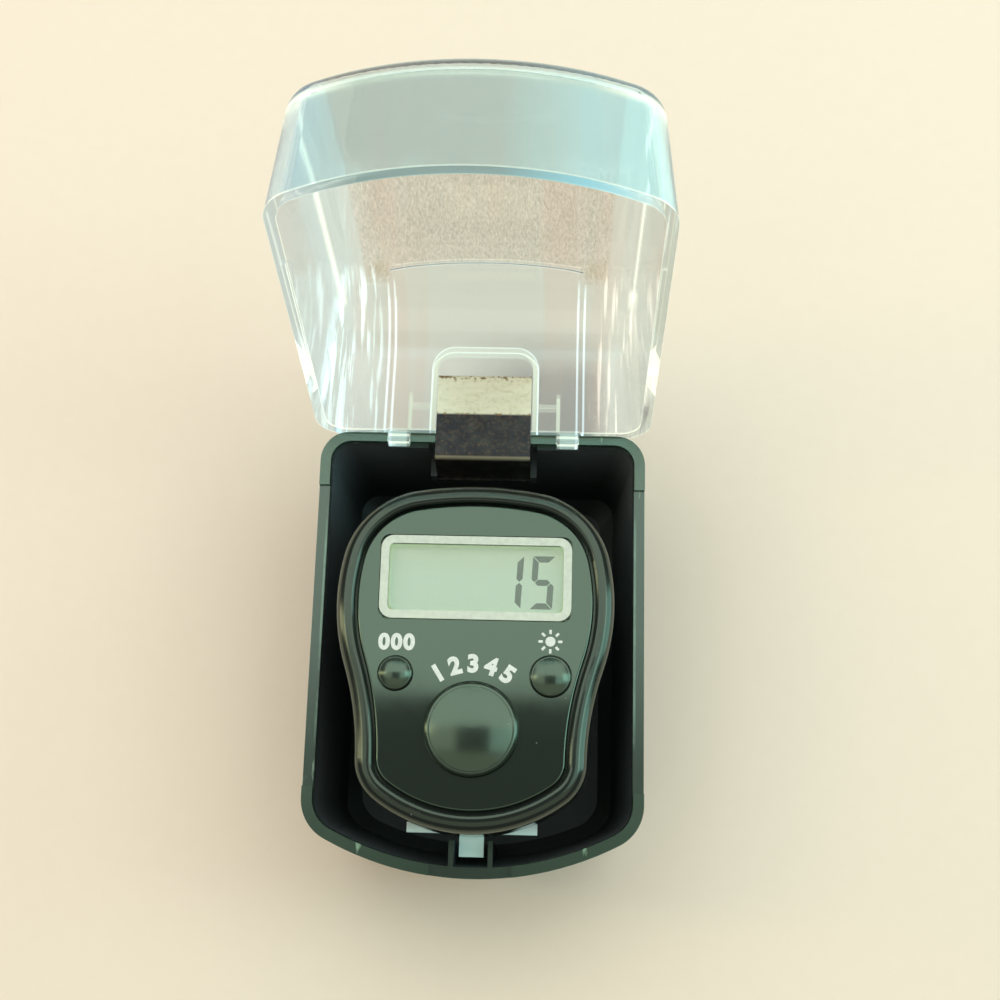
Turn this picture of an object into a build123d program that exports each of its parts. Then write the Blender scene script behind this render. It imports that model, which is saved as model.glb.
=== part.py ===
from build123d import *
from math import atan, cos, hypot, radians, sin, sqrt
import os

# Finger counter standing in its hinged case, in millimetres.
# Origin: middle of the case's flat underside. +X right, +Y to the hinge, +Z up.

# Case, seen from above: straight back and sides, bowed front
SIDE_GAP = 4.1            # counter's side to the case's outside, at the rim
BACK_GAP = 9.17           # counter's top end to the case's back edge
FRONT_GAP = 4.98          # counter's low end to the case's front edge
FRONT_BOW = 6.1           # rise of the bowed front edge over the case's width
BACK_CORNER_R = 4.0
FRONT_CORNER_R = 5.5

# Tray of the case
BASE_WALL = 1.35
BASE_FLOOR = 1.5
BASE_TAPER = 2.1          # how far each wall leans in from rim to foot
FLOOR_BEVEL = 1.6         # slope between inner wall and floor
RIM_STEP = 0.4            # shallow recess in the rim for the lid's tongues
RIM_STEP_START = 7.3      # recess, from the back edge
RIM_STEP_END = 45.7
THUMB_NOTCH_W = 10.0
FRONT_RIB_X = 2.4         # two ribs that hold the seat's tab
FRONT_RIB_T = 0.6
FRONT_RIB_L = 4.6         # from the outside of the front wall
FRONT_RIB_DROP = 0.3      # rib tops below the rim

# Hinge
OPEN_ANGLE = 101.0        # lid's angle from closed, as it stands open
AXIS_IN = 0.7             # hinge axis inside the back face
AXIS_DOWN = 0.9           # hinge axis below the rim
PIN_R = 0.4
PIN_PLAY = 0.05           # radial play of a pin in its hole
PIN_END = 1.1             # length of each pin end outside its lug
LUG_X = 10.95             # middle of a lug
LUG_W = 2.7
LUG_R = 1.0
LUG_PLAY = 0.15           # play beside and below a lug
KNUCKLE_PLAY = 0.03       # play between the round back rim and the lid
BOSS_W = 2.4              # small blocks beside the lugs that hold the pins
BOSS_DEPTH = 0.55         # how far a block stands out from the back wall
BOSS_TOP_DROP = 0.25
BOSS_H = 2.3
BOSS_SLOPE = 0.7

# Lid
LID_GAP = 6.15            # outside of the lid's front edge over the count button
LID_FALL = 5.2            # how far the top falls from the back edge to the front
LID_OVERHANG = 0.6        # how far each side of the lid stands out over the tray
LID_WALL = 1.3
LID_TAPER = 1.2           # how far the walls lean in from rim to top
LID_EDGE_R = 3.2          # rounding along the top's edge
LID_BACK_R = 11.5         # large rounding from back wall to top
LID_BACK_BITE = 0.1       # depth by which that rounding crosses both faces
TONGUE_H = 0.35
TONGUE_START = 16.7       # tongues on the lid's side rims, from the back edge
TONGUE_END = 39.3
TONGUE_MARGIN = 0.12
LID_RIB_H = 0.8           # ribs on the inside of the lid's back
LID_RIB_T = 0.8
ARCH_TOP = 12.1           # arch rib over the spring, from the rim
ARCH_R = 3.0
ARCH_GAP = 0.15           # play between spring and arch
STAY_X = 9.7              # short upright ribs beside the arch
STAY_H = 5.4
STAY_T = 0.5
CROSSBAR_Z = 3.7
CROSSBAR_T = 0.6
LONG_RIB_T = 1.1
LONG_RIB_OUT = 0.25       # middle of a long rib, outside its lug
LONG_RIB_H = 18.3
PATCH_T = 0.2             # slightly thicker patch between the long ribs
PATCH_END = 12.8          # patch's end from the back edge, on the middle line
PATCH_BOW = 2.0           # how far the patch's end falls back at its corners

# Spring strip across the hinge
SPRING_W = 12.3
SPRING_T = 0.35
SPRING_LID_START = 2.3    # fold, measured along the lid's back wall from its rim
SPRING_LID_END = 7.8
SPRING_DROP = 6.5         # lower end below the rim
SPRING_RISE = 0.32        # bend over the rim, middle of the strip
SPRING_SET_IN = 2.2       # strip's middle, inside the face of the tray's back wall
SPRING_BEND_R = 0.6
SPRING_FOLD_R = 0.3
SPRING_HEM = 0.6          # short turned-in edge at the lower end
SPRING_HEM_LIFT = 0.2     # how far that edge turns up again
SPRING_HEM_R = 0.2
SPRING_NOTCH = 0.9        # notch in the back rim under the strip
SPRING_GAP = 0.05         # play of the strip against lid, guides and ledge
GUIDE_T = 0.8
GUIDE_DEPTH = 3.1
GUIDE_H = 1.6             # guides over the ledge

# Seat: one bent clear strip that holds the counter up
SEAT_W = 16.1
SEAT_T = 1.2
SEAT_DROP = 2.3           # seat's top below the rim
SEAT_FRONT_IN = 0.52      # ends of the seat, inside the counter's ends
SEAT_BACK_IN = 1.33
SEAT_BAY = 10.2           # open bay between the two legs, for the finger ring
SEAT_TAB_W = 3.0
SEAT_TAB_L = 2.8

# Counter's outline: arcs that touch one another, mirrored left and right
FACE_SIDE = 5.25          # window to the counter's side, at its widest
FACE_TOP = 6.55           # counter's top end to the window
LABEL_H = 7.55            # window to the count button
FACE_LOW = 6.6            # count button to the counter's low end
SIDE_R = 26.0
SIDE_DOWN = 14.6          # widest place, from the top end
CORNER_R = 10.8
CORNER_DOWN = 11.31       # middle of the corner's arc, from the top end
WAIST_R = 37.0
CHIN_R = 5.9
CHIN_X = 7.92
CHIN_UP = 8.51            # middle of the chin's arc, from the low end

# Counter's shells
BODY_T = 10.3             # back to face plate
BEZEL_RISE = 0.5          # bezel's top over the face plate
BEZEL_W = 2.3
BEZEL_OUTER_R = 1.6
BEZEL_INNER_R = 0.6
LEDGE_W = 0.6             # ledge that carries the face plate
PLATE_T = 1.5
PLATE_GAP = 0.25
PLATE_EDGE_R = 0.35
SHELL_WALL = 1.6
SHELL_FLOOR = 1.2
SHELL_EDGE_R = 2.5
PARTING_DEPTH = 6.0       # joint between bezel and rear shell, below the face
LIP_T = 1.0
FIT_GAP = 0.1             # play of parts that drop into one another

# Display
WINDOW_W = 23.3
WINDOW_H = 10.3
WINDOW_T = 1.0
WINDOW_R = 1.2
VIEW_MARGIN = 1.1         # printed border of the window
LCD_IN = 0.15             # glass inside the window's sides
LCD_OVER = 0.1            # and taller than it
LCD_T = 1.5
LCD_LEDGE = 1.7           # bare strip of the front glass that carries the contacts
GUIDE_PLATE_T = 0.9
GUIDE_PLATE_IN = 0.2      # inside the glass's sides
STRIP_IN = 1.0
STRIP_D = 1.2
LAMP_W = 1.0
LAMP_L = 2.0
LAMP_H = 0.7
LAMP_CHAMFER = 0.2

# Circuit board and what it carries; chips as x, y from the count button's middle, width, depth
BOARD_T = 1.0
BOARD_GAP = 0.2
CHIP_R = 3.0
CHIP_H = 1.1
CHIP_DOWN = 0.3           # chip below the count button's middle
CHIPS = ((5.6, 5.5, 2.0, 1.2), (-5.6, 5.5, 2.0, 1.2), (4.2, -4.7, 1.6, 0.8), (-4.2, -4.7, 3.0, 1.4))
CHIPS_H = 0.6

# Buttons
COUNT_R = 5.6
COUNT_RISE = 1.75
COUNT_TRAVEL = 0.8
COUNT_PILL_R = 1.6
SMALL_X = 9.3
SMALL_UP = 6.45           # small buttons above the count button's middle
RESET_R = 2.05
LAMP_BUTTON_R = 2.45
SMALL_RISE = 1.1
SMALL_TRAVEL = 0.6
SMALL_PILL_R = 0.8
SHOULDER_SHARE = 0.12     # width of a button's rounded shoulder, as a share of its radius
SIDE_SHARE = 0.2          # height of its upright side, as a share of its rise
DOME_SHARE = 0.5          # height at which its dome begins
KNEE_IN = 0.3             # shoulder's middle point, as shares of its width and height
KNEE_UP = 0.72
BUTTON_PLAY = 0.12
FLANGE_W = 0.3
FLANGE_T = 0.75
FLANGE_GAP = 0.05
PILL_GAP = 0.05           # pill's last gap over the board at full travel
PAD_WALL = 0.8
PAD_TOP_T = 0.5
PAD_LEAN = 0.9

# Cells and their door
CELL_R = 5.8
CELL_T = 3.05
CELL_CAP_R = 5.0
CELL_CAP_T = 0.45
CELL_GAP = 0.6            # between the two cells
CELL_DOWN = 12.9          # cells' middle from the counter's top end
CELL_PLAY = 0.2
BRIDGE_T = 0.3
BRIDGE_L = 17.0
BRIDGE_W = 4.6
BRIDGE_CORNER_R = 1.15
CONTACT_T = 0.25
CONTACT_W = 4.4
CONTACT_TIP_R = 0.9
BAY_WALL = 0.8
BAY_TOP_GAP = 0.4
DOOR_LIP = 0.7
DOOR_T = 0.7
DOOR_TAB_DOWN = 8.8       # door's screw below the cells' middle
DOOR_TAB_R = 2.0

# Screws
TOP_SCREW_DOWN = 4.55     # from the counter's top end
LOW_SCREW_X = 7.8
LOW_SCREW_UP = 7.7        # from the counter's low end
SCREW_R = 0.65
SCREW_PILOT_R = 0.7
SCREW_HEAD_R = 1.3
SCREW_HEAD_H = 0.8
SCREW_SINK = 1.6
SCREW_SLOT = 0.35
SCREW_SLOT_ARM = 0.85     # half length of the cross slot
SCREW_SLOT_DEPTH = 0.35
BOSS_R = 1.25
POST_R = 1.7
BOSS_END = 6.4            # bosses meet the posts at this depth below the face
BOSS_ROOF = 0.8           # pilot hole stops this far under the face
DOOR_SCREW_L = 2.6

# Finger ring
RING_UP = 1.9             # ring's middle above the count button's
RING_BAND = 8.0
RING_T = 1.6
RING_BORE = 18.6          # inside width
RING_DEPTH = 17.0         # finger room below the counter's back
RING_CLEAR = 0.4          # ring's room over the seat's foot
RING_HOOK = 1.4           # inward hook on the shell's floor
RING_HOOK_T = 0.6

NEAR = 1e-6               # heights this close count as equal

# Worked-out sizes and places
COUNTER_L = FACE_TOP + WINDOW_H + LABEL_H + 2 * COUNT_R + FACE_LOW
COUNTER_END = COUNTER_L / 2
COUNTER_W = WINDOW_W + 2 * FACE_SIDE
CASE_W = COUNTER_W + 2 * SIDE_GAP
CASE_L = BACK_GAP + COUNTER_L + FRONT_GAP
BASE_H = BASE_FLOOR + SEAT_T + RING_CLEAR + RING_T + RING_DEPTH + SEAT_DROP
LID_FRONT_H = BODY_T + COUNT_RISE - SEAT_DROP + LID_GAP
LID_BACK_H = LID_FRONT_H + LID_FALL
CASE_BACK = CASE_L / 2
RIM_Z = BASE_H
BOW_R = (CASE_W**2 / 4 + FRONT_BOW**2) / (2 * FRONT_BOW)
HINGE_Y = CASE_BACK - AXIS_IN
HINGE_Z = RIM_Z - AXIS_DOWN
LID_SLOPE = (LID_BACK_H - LID_FRONT_H) / CASE_L
LID_MID_H = (LID_BACK_H + LID_FRONT_H) / 2
LONG_RIB_X = LUG_X + LUG_W / 2 + LONG_RIB_OUT
SEAT_Z = RIM_Z - SEAT_DROP
FACE_Z = SEAT_Z + BODY_T
COUNTER_Y = CASE_BACK - BACK_GAP - COUNTER_END
COUNTER_AT = Pos(0, COUNTER_Y, FACE_Z)
WINDOW_Y = COUNTER_END - FACE_TOP - WINDOW_H / 2
COUNT_Y = FACE_LOW + COUNT_R - COUNTER_END
SMALL_Y = COUNT_Y + SMALL_UP
CELL_Y = COUNTER_END - CELL_DOWN
DOOR_TAB_Y = CELL_Y - DOOR_TAB_DOWN
RING_Y = COUNT_Y + RING_UP
LOW_SCREW_Y = LOW_SCREW_UP - COUNTER_END
SCREW_SPOTS = ((0, COUNTER_END - TOP_SCREW_DOWN), (-LOW_SCREW_X, LOW_SCREW_Y), (LOW_SCREW_X, LOW_SCREW_Y))
LCD_W = WINDOW_W - 2 * LCD_IN
LCD_H = WINDOW_H + LCD_OVER
GUIDE_PLATE_W = LCD_W - 2 * GUIDE_PLATE_IN
STRIP_W = LCD_W - 2 * STRIP_IN
BOARD_TOP = -(PLATE_T + LCD_T + GUIDE_PLATE_T)
BOARD_BOTTOM = BOARD_TOP - BOARD_T
SHELL_BACK = -BODY_T
SHELL_INSIDE = SHELL_BACK + SHELL_FLOOR
PARTING_Z = -PARTING_DEPTH
CELL_X = CELL_R + CELL_GAP / 2
CELL_BOTTOM = SHELL_INSIDE + BRIDGE_T
CELL_TOP = CELL_BOTTOM + CELL_T
FLANGE_BOTTOM = -(PLATE_T + FLANGE_GAP + FLANGE_T)
BUTTONS = {
    "count": (0.0, COUNT_Y, COUNT_R, COUNT_RISE, COUNT_TRAVEL, COUNT_PILL_R),
    "reset": (-SMALL_X, SMALL_Y, RESET_R, SMALL_RISE, SMALL_TRAVEL, SMALL_PILL_R),
    "led": (SMALL_X, SMALL_Y, LAMP_BUTTON_R, SMALL_RISE, SMALL_TRAVEL, SMALL_PILL_R),
}


def block(x0, x1, y0, y1, z0, z1):
    """A box between two corners."""
    return Pos((x0 + x1) / 2, (y0 + y1) / 2, (z0 + z1) / 2) * Box(abs(x1 - x0), abs(y1 - y0), abs(z1 - z0))


def disc(radius, x, y, z0, z1):
    """An upright cylinder between two heights."""
    return Pos(x, y, (z0 + z1) / 2) * Cylinder(radius, abs(z1 - z0))


def rise(face, z0, z1):
    """A flat outline drawn up from one height to another."""
    return Pos(0, 0, z0) * extrude(face, amount=z1 - z0)


# Case
def case_outline(inset, wall=0.0, overhang=0.0):
    """The case's plan, moved in by inset; the corners lose only the wall's thickness."""
    half = CASE_W / 2 + overhang - inset
    back = CASE_BACK - inset
    bow_centre = -CASE_BACK + BOW_R
    bow_r = BOW_R - inset
    corner = bow_centre - sqrt(bow_r**2 - half**2)
    edges = Polyline((-half, corner), (-half, back), (half, back), (half, corner))
    edges += ThreePointArc((half, corner), (0, bow_centre - bow_r), (-half, corner))
    plan = make_face(edges)
    plan = fillet(plan.vertices().group_by(Axis.Y)[-1], BACK_CORNER_R - wall)
    return fillet(plan.vertices().group_by(Axis.Y)[0], FRONT_CORNER_R - wall)


def base_lean(z):
    """How far the tray's wall stands in from the rim at a height."""
    return BASE_TAPER * (1 - z / BASE_H)


def tray_solid():
    return loft([case_outline(BASE_TAPER), Pos(0, 0, BASE_H) * case_outline(0)], ruled=True)


def tray_hollow():
    bevel_top = BASE_FLOOR + FLOOR_BEVEL
    floor_plan = case_outline(base_lean(BASE_FLOOR) + BASE_WALL + FLOOR_BEVEL, BASE_WALL)
    bevel_plan = case_outline(base_lean(bevel_top) + BASE_WALL, BASE_WALL)
    return loft(
        [
            Pos(0, 0, BASE_FLOOR) * floor_plan,
            Pos(0, 0, bevel_top) * bevel_plan,
            Pos(0, 0, BASE_H) * case_outline(BASE_WALL, BASE_WALL),
        ],
        ruled=True,
    )


def hinge_bar(radius, x0, x1):
    """A cylinder on the hinge axis."""
    return Pos((x0 + x1) / 2, HINGE_Y, HINGE_Z) * Rot(0, 90, 0) * Cylinder(radius, x1 - x0)


def pin_boss(side):
    """Block beside a lug, with a sloping top, that carries the pin's inner end."""
    outer = LUG_X - LUG_W / 2 - LUG_PLAY
    wall_face = CASE_BACK - BASE_WALL
    top = RIM_Z - BOSS_TOP_DROP
    profile = Polyline(
        (CASE_BACK - AXIS_IN, top),
        (wall_face, top),
        (wall_face - BOSS_DEPTH, top - BOSS_SLOPE),
        (wall_face - BOSS_DEPTH, top - BOSS_H),
        (CASE_BACK - AXIS_IN, top - BOSS_H),
        close=True,
    )
    shape = extrude(Plane.YZ * make_face(profile), amount=BOSS_W)
    return Pos(outer - BOSS_W if side > 0 else -outer, 0, 0) * shape


def spring_fittings():
    """Two guides and a ledge that hold the spring's lower leg against the back wall."""
    wall_face = CASE_BACK - BASE_WALL
    low = RIM_Z - SPRING_DROP - SPRING_T
    inner = SPRING_W / 2 + SPRING_GAP
    outer = inner + GUIDE_T
    fittings = block(-outer, outer, wall_face - GUIDE_DEPTH, CASE_BACK, low - GUIDE_T, low)
    for side in (-1, 1):
        fittings += block(
            side * inner,
            side * outer,
            wall_face - GUIDE_DEPTH,
            CASE_BACK,
            low - GUIDE_T,
            low + GUIDE_H,
        )
    return fittings


def make_case_base():
    outside = tray_solid()
    fittings = spring_fittings()
    for side in (-1, 1):
        rib = block(
            side * FRONT_RIB_X - FRONT_RIB_T / 2,
            side * FRONT_RIB_X + FRONT_RIB_T / 2,
            -CASE_BACK,
            -CASE_BACK + FRONT_RIB_L,
            BASE_FLOOR / 2,
            RIM_Z - FRONT_RIB_DROP,
        )
        fittings += rib
        fittings += pin_boss(side)
    base = outside - tray_hollow() + (fittings & outside)
    step = RIM_Z - RIM_STEP
    for side in (-1, 1):
        x0, x1 = side * (CASE_W / 2 - 2 * BASE_WALL), side * CASE_W
        base -= block(x0, x1, CASE_BACK - RIM_STEP_END, CASE_BACK - RIM_STEP_START, step, RIM_Z + RIM_STEP)
        slot_low = HINGE_Z - LUG_R - LUG_PLAY
        half = LUG_W / 2 + LUG_PLAY
        slot_in = HINGE_Y - LUG_R - LUG_PLAY - BOSS_DEPTH
        base -= block(side * LUG_X - half, side * LUG_X + half, slot_in, CASE_L, slot_low, CASE_L)
        reach = half + PIN_END
        base -= hinge_bar(PIN_R + PIN_PLAY, side * LUG_X - reach, side * LUG_X + reach)
    half = THUMB_NOTCH_W / 2
    base -= block(-half, half, -CASE_L, -CASE_BACK + 2 * BASE_WALL, step, RIM_Z + RIM_STEP)
    knuckle = hinge_bar(AXIS_DOWN - KNUCKLE_PLAY, -CASE_W, CASE_W)
    base -= block(-CASE_W, CASE_W, HINGE_Y, CASE_L, HINGE_Z, CASE_L) - knuckle
    half = SPRING_W / 2 + SPRING_GAP
    return base - block(-half, half, CASE_BACK - 2 * BASE_WALL, CASE_L, RIM_Z - SPRING_NOTCH, CASE_L)


# Lid, drawn closed and then swung open
def lid_top(depth):
    """Inset and middle height of the lid's sloping top, moved in by depth."""
    height = LID_MID_H - depth
    return depth + LID_TAPER * height / LID_MID_H, height


def back_lean(depth):
    """How far the lid's back wall, moved in by depth, leans in for each unit of height."""
    inset, height = lid_top(depth)
    top_y = (CASE_BACK - inset) / sqrt(1 + LID_SLOPE**2)
    return (CASE_BACK - depth - top_y) / (height + LID_SLOPE * top_y)


def lid_body(depth):
    """The lid's outside moved in by depth, which also gives its hollow."""
    inset, height = lid_top(depth)
    top = Plane(origin=(0, 0, RIM_Z + height), x_dir=(1, 0, 0), z_dir=(0, -LID_SLOPE, 1))
    rim_plan = Pos(0, 0, RIM_Z) * case_outline(depth, depth, LID_OVERHANG)
    body = loft([rim_plan, top * case_outline(inset, depth, LID_OVERHANG)], ruled=True)
    body = fillet(body.faces().sort_by(Axis.Z)[-1].edges(), LID_EDGE_R - depth)
    lean = back_lean(0)
    reach = LID_BACK_R - LID_BACK_BITE
    down = reach * sqrt(1 + LID_SLOPE**2)
    back = reach * sqrt(1 + lean**2)
    centre_y = (CASE_BACK - lean * (LID_MID_H - down) - back) / (1 + lean * LID_SLOPE)
    centre_z = RIM_Z + LID_MID_H + LID_SLOPE * centre_y - down
    roller = Pos(0, centre_y, centre_z) * Rot(0, 90, 0) * Cylinder(LID_BACK_R - depth, 2 * CASE_W)
    corner = block(-CASE_W, CASE_W, centre_y, CASE_L, centre_z, centre_z + CASE_L)
    return body - (corner - roller)


def upright(x, width, z1):
    """A bar in the plan of the lid's back, from the rim up."""
    return Pos(x, z1 / 2) * Rectangle(width, z1)


def back_rib_plan():
    """Ribs on the inside of the lid's back, drawn flat: x and height over the rim."""
    inner = SPRING_W / 2 + ARCH_GAP
    outer = inner + LID_RIB_T
    arch = RectangleRounded(2 * outer, 2 * ARCH_TOP, ARCH_R)
    arch -= RectangleRounded(2 * inner, 2 * (ARCH_TOP - LID_RIB_T), ARCH_R - LID_RIB_T)
    plan = arch
    for side in (-1, 1):
        plan += upright(side * STAY_X, STAY_T, STAY_H)
        plan += upright(side * LONG_RIB_X, LONG_RIB_T, LONG_RIB_H)
        bar_mid = side * (outer + STAY_X) / 2
        plan += Pos(bar_mid, CROSSBAR_Z) * Rectangle(STAY_X - outer + LID_RIB_T, CROSSBAR_T)
    return plan & Pos(0, CASE_L / 2) * Rectangle(CASE_W, CASE_L)


def lid_layer(height):
    """A thin layer on the lid's inner face."""
    return lid_body(LID_WALL - height / 2) - lid_body(LID_WALL + height)


def lid_ribs():
    reach = CASE_BACK - LID_BACK_R
    plane = Plane(origin=(0, CASE_L, RIM_Z), x_dir=(1, 0, 0), z_dir=(0, -1, 0))
    drawn = extrude(plane * mirror(back_rib_plan(), Plane.XZ), amount=CASE_L - reach)
    return lid_layer(LID_RIB_H) & drawn


def lid_patch():
    """Thicker patch between the long ribs; its end is bowed."""
    half = LONG_RIB_X
    end = CASE_BACK - PATCH_END
    outline = Polyline((-half, end + PATCH_BOW), (-half, CASE_L), (half, CASE_L), (half, end + PATCH_BOW))
    outline += ThreePointArc((half, end + PATCH_BOW), (0, end), (-half, end + PATCH_BOW))
    return lid_layer(PATCH_T) & rise(make_face(outline), RIM_Z, RIM_Z + CASE_L)


def lug(side):
    """Tab below the lid's back rim, with a pin end on each side."""
    x0 = side * LUG_X - LUG_W / 2
    shape = hinge_bar(LUG_R, x0, x0 + LUG_W)
    shape += block(x0, x0 + LUG_W, CASE_BACK - LID_WALL, CASE_BACK, HINGE_Z, RIM_Z + LID_WALL)
    shape &= block(-CASE_W, CASE_W, 0, CASE_BACK, 0, CASE_L)
    outside = lid_body(0) + block(-CASE_W, CASE_W, 0, CASE_BACK, 0, RIM_Z)
    return (shape & outside) + hinge_bar(PIN_R, x0 - PIN_END, x0 + LUG_W + PIN_END)


def make_case_lid():
    lid = lid_body(0) - lid_body(LID_WALL)
    lid += lid_patch()
    lid += lid_ribs()
    for side in (-1, 1):
        lid += lug(side)
        lid += block(
            side * (CASE_W / 2 - TONGUE_MARGIN),
            side * (CASE_W / 2 + LID_OVERHANG - LID_WALL + TONGUE_MARGIN),
            CASE_BACK - TONGUE_END,
            CASE_BACK - TONGUE_START,
            RIM_Z - TONGUE_H,
            RIM_Z + TONGUE_H,
        )
    return swing_open(lid)


def swing_open(shape):
    return shape.rotate(Axis((0, HINGE_Y, HINGE_Z), (1, 0, 0)), -OPEN_ANGLE)


def open_point(v):
    """Place, as (y, z), of a point just off the open lid's inner back face, v from its rim."""
    turn = radians(OPEN_ANGLE)
    lean = atan(back_lean(LID_WALL + PATCH_T))
    off = SPRING_GAP + SPRING_T / 2
    y = AXIS_IN - LID_WALL - PATCH_T - v * sin(lean) - off * cos(lean)
    z = AXIS_DOWN + v * cos(lean) - off * sin(lean)
    return HINGE_Y + y * cos(turn) + z * sin(turn), HINGE_Z - y * sin(turn) + z * cos(turn)


def make_hinge_spring():
    face = CASE_BACK - BASE_WALL - SPRING_SET_IN
    low_face = face - SPRING_DROP * BASE_TAPER / BASE_H
    path = FilletPolyline(
        open_point(SPRING_LID_END),
        open_point(SPRING_LID_START),
        (face, RIM_Z + SPRING_RISE),
        (low_face, RIM_Z - SPRING_DROP),
        (low_face - SPRING_HEM, RIM_Z - SPRING_DROP + SPRING_HEM_LIFT),
        radius=(SPRING_FOLD_R, SPRING_BEND_R, SPRING_HEM_R),
    )
    section = make_face(offset(path, amount=SPRING_T / 2, side=Side.BOTH))
    return Pos(-SPRING_W / 2, 0, 0) * extrude(Plane.YZ * section, amount=SPRING_W)


def make_seat_strip():
    top, floor = SEAT_Z, BASE_FLOOR
    front = COUNTER_Y - COUNTER_END + SEAT_FRONT_IN
    back = COUNTER_Y + COUNTER_END - SEAT_BACK_IN
    bay_mid = COUNTER_Y + RING_Y
    leg_front = bay_mid - SEAT_BAY / 2
    leg_back = bay_mid + SEAT_BAY / 2
    half = SEAT_W / 2
    strip = block(-half, half, front, leg_front, top - SEAT_T, top)
    strip += block(-half, half, leg_front - SEAT_T, leg_front, floor, top)
    strip += block(-half, half, leg_front - SEAT_T, leg_back + SEAT_T, floor, floor + SEAT_T)
    strip += block(-half, half, leg_back, leg_back + SEAT_T, floor, top)
    strip += block(-half, half, leg_back, back, top - SEAT_T, top)
    return strip + block(-SEAT_TAB_W / 2, SEAT_TAB_W / 2, front - SEAT_TAB_L, front, top - SEAT_T, top)


# Counter, drawn with its face plate's top at z = 0 and its middle at the origin
def crossing(a, reach_a, b, reach_b):
    """The right-hand one of the two points that lie reach_a from a and reach_b from b."""
    run = (b[0] - a[0], b[1] - a[1])
    gap = hypot(*run)
    along = (gap**2 + reach_a**2 - reach_b**2) / (2 * gap)
    aside = sqrt(reach_a**2 - along**2)
    return (a[0] + (along * run[0] - aside * run[1]) / gap, a[1] + (along * run[1] + aside * run[0]) / gap)


def cap_radius(corner, corner_r, top):
    """Radius of the arc, centred on the middle line, that passes through top and touches a corner."""
    k = corner[1] - top
    return (corner_r**2 - corner[0] ** 2 - k**2) / (2 * (k + corner_r))


def arc_between(centre, radius, start, end):
    """Short arc about a centre, through the middle of its start and end directions."""
    middle = ((start[0] + end[0]) / 2 - centre[0], (start[1] + end[1]) / 2 - centre[1])
    scale = radius / hypot(*middle)
    return ThreePointArc(start, (centre[0] + middle[0] * scale, centre[1] + middle[1] * scale), end)


def touch(centre, radius, towards):
    """Point of a circle in the direction of another centre."""
    run = (towards[0] - centre[0], towards[1] - centre[1])
    scale = radius / hypot(*run)
    return (centre[0] + run[0] * scale, centre[1] + run[1] * scale)


def counter_outline(inset):
    """The counter's plan moved in by inset: every arc keeps its centre."""
    half = COUNTER_END
    side = (COUNTER_W / 2 - SIDE_R, half - SIDE_DOWN)
    corner_y = half - CORNER_DOWN
    corner = (side[0] + sqrt((SIDE_R - CORNER_R) ** 2 - (corner_y - side[1]) ** 2), corner_y)
    chin = (CHIN_X, CHIN_UP - half)
    waist = crossing(side, SIDE_R + WAIST_R, chin, WAIST_R + CHIN_R)
    top_r = cap_radius(corner, CORNER_R, half)
    low_r = cap_radius((chin[0], -chin[1]), CHIN_R, half)
    top, low = (0, half - top_r), (0, low_r - half)
    a = touch(top, top_r - inset, corner)
    b = touch(side, SIDE_R - inset, corner)
    c = touch(side, SIDE_R - inset, waist)
    d = touch(waist, WAIST_R + inset, chin)
    e = touch(low, low_r - inset, chin)
    right = arc_between(corner, CORNER_R - inset, a, b)
    right += arc_between(side, SIDE_R - inset, b, c)
    right += arc_between(waist, WAIST_R + inset, c, d)
    right += arc_between(chin, CHIN_R - inset, d, e)
    edges = right + mirror(right, Plane.YZ)
    edges += ThreePointArc((-a[0], a[1]), (0, half - inset), a)
    edges += ThreePointArc((-e[0], e[1]), (0, inset - half), e)
    return make_face(edges)


def stadium(radius):
    """Plan of the cell bay grown to a radius about the two cells' middles."""
    return Pos(0, CELL_Y) * SlotCenterToCenter(2 * CELL_X, 2 * radius)


def edges_at(shape, z, largest):
    """Edges of the widest level face at a height: those round it, or those of its hole."""
    flat = [f for f in shape.faces().filter_by(Plane.XY) if abs(f.center().Z - z) < NEAR]
    ring = max(flat, key=lambda f: f.area)
    return ring.outer_wire().edges() if largest else ring.inner_wires()[0].edges()


def make_bezel_ring():
    ring = rise(counter_outline(0), PARTING_Z, BEZEL_RISE)
    ring -= rise(counter_outline(BEZEL_W), -PLATE_T, BEZEL_RISE)
    ring -= rise(counter_outline(BEZEL_W + LEDGE_W), BOARD_TOP, -PLATE_T)
    ring -= rise(counter_outline(SHELL_WALL), PARTING_Z, BOARD_TOP)
    ring = fillet(edges_at(ring, BEZEL_RISE, True), BEZEL_OUTER_R)
    return fillet(edges_at(ring, BEZEL_RISE, False), BEZEL_INNER_R)


def window_plan(margin):
    size = WINDOW_W - 2 * margin, WINDOW_H - 2 * margin
    return Pos(0, WINDOW_Y) * RectangleRounded(*size, WINDOW_R - margin * WINDOW_R / WINDOW_H)


def make_face_plate():
    plate = rise(counter_outline(BEZEL_W + PLATE_GAP), -PLATE_T, 0)
    plate = fillet(edges_at(plate, 0, True), PLATE_EDGE_R)
    plate -= rise(window_plan(-FIT_GAP), -WINDOW_T, WINDOW_T)
    plate -= rise(window_plan(VIEW_MARGIN), -PLATE_T, 0)
    for x, y, radius, *_ in BUTTONS.values():
        plate -= disc(radius + BUTTON_PLAY, x, y, -PLATE_T, PLATE_T)
    for x, y in SCREW_SPOTS:
        plate += disc(BOSS_R, x, y, -BOSS_END, -PLATE_T)
        plate -= disc(SCREW_PILOT_R, x, y, -BOSS_END, -BOSS_ROOF)
    return plate


def make_display_window():
    return rise(window_plan(0), -WINDOW_T, 0)


def lcd_edge(side):
    return WINDOW_Y + side * LCD_H / 2


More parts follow.
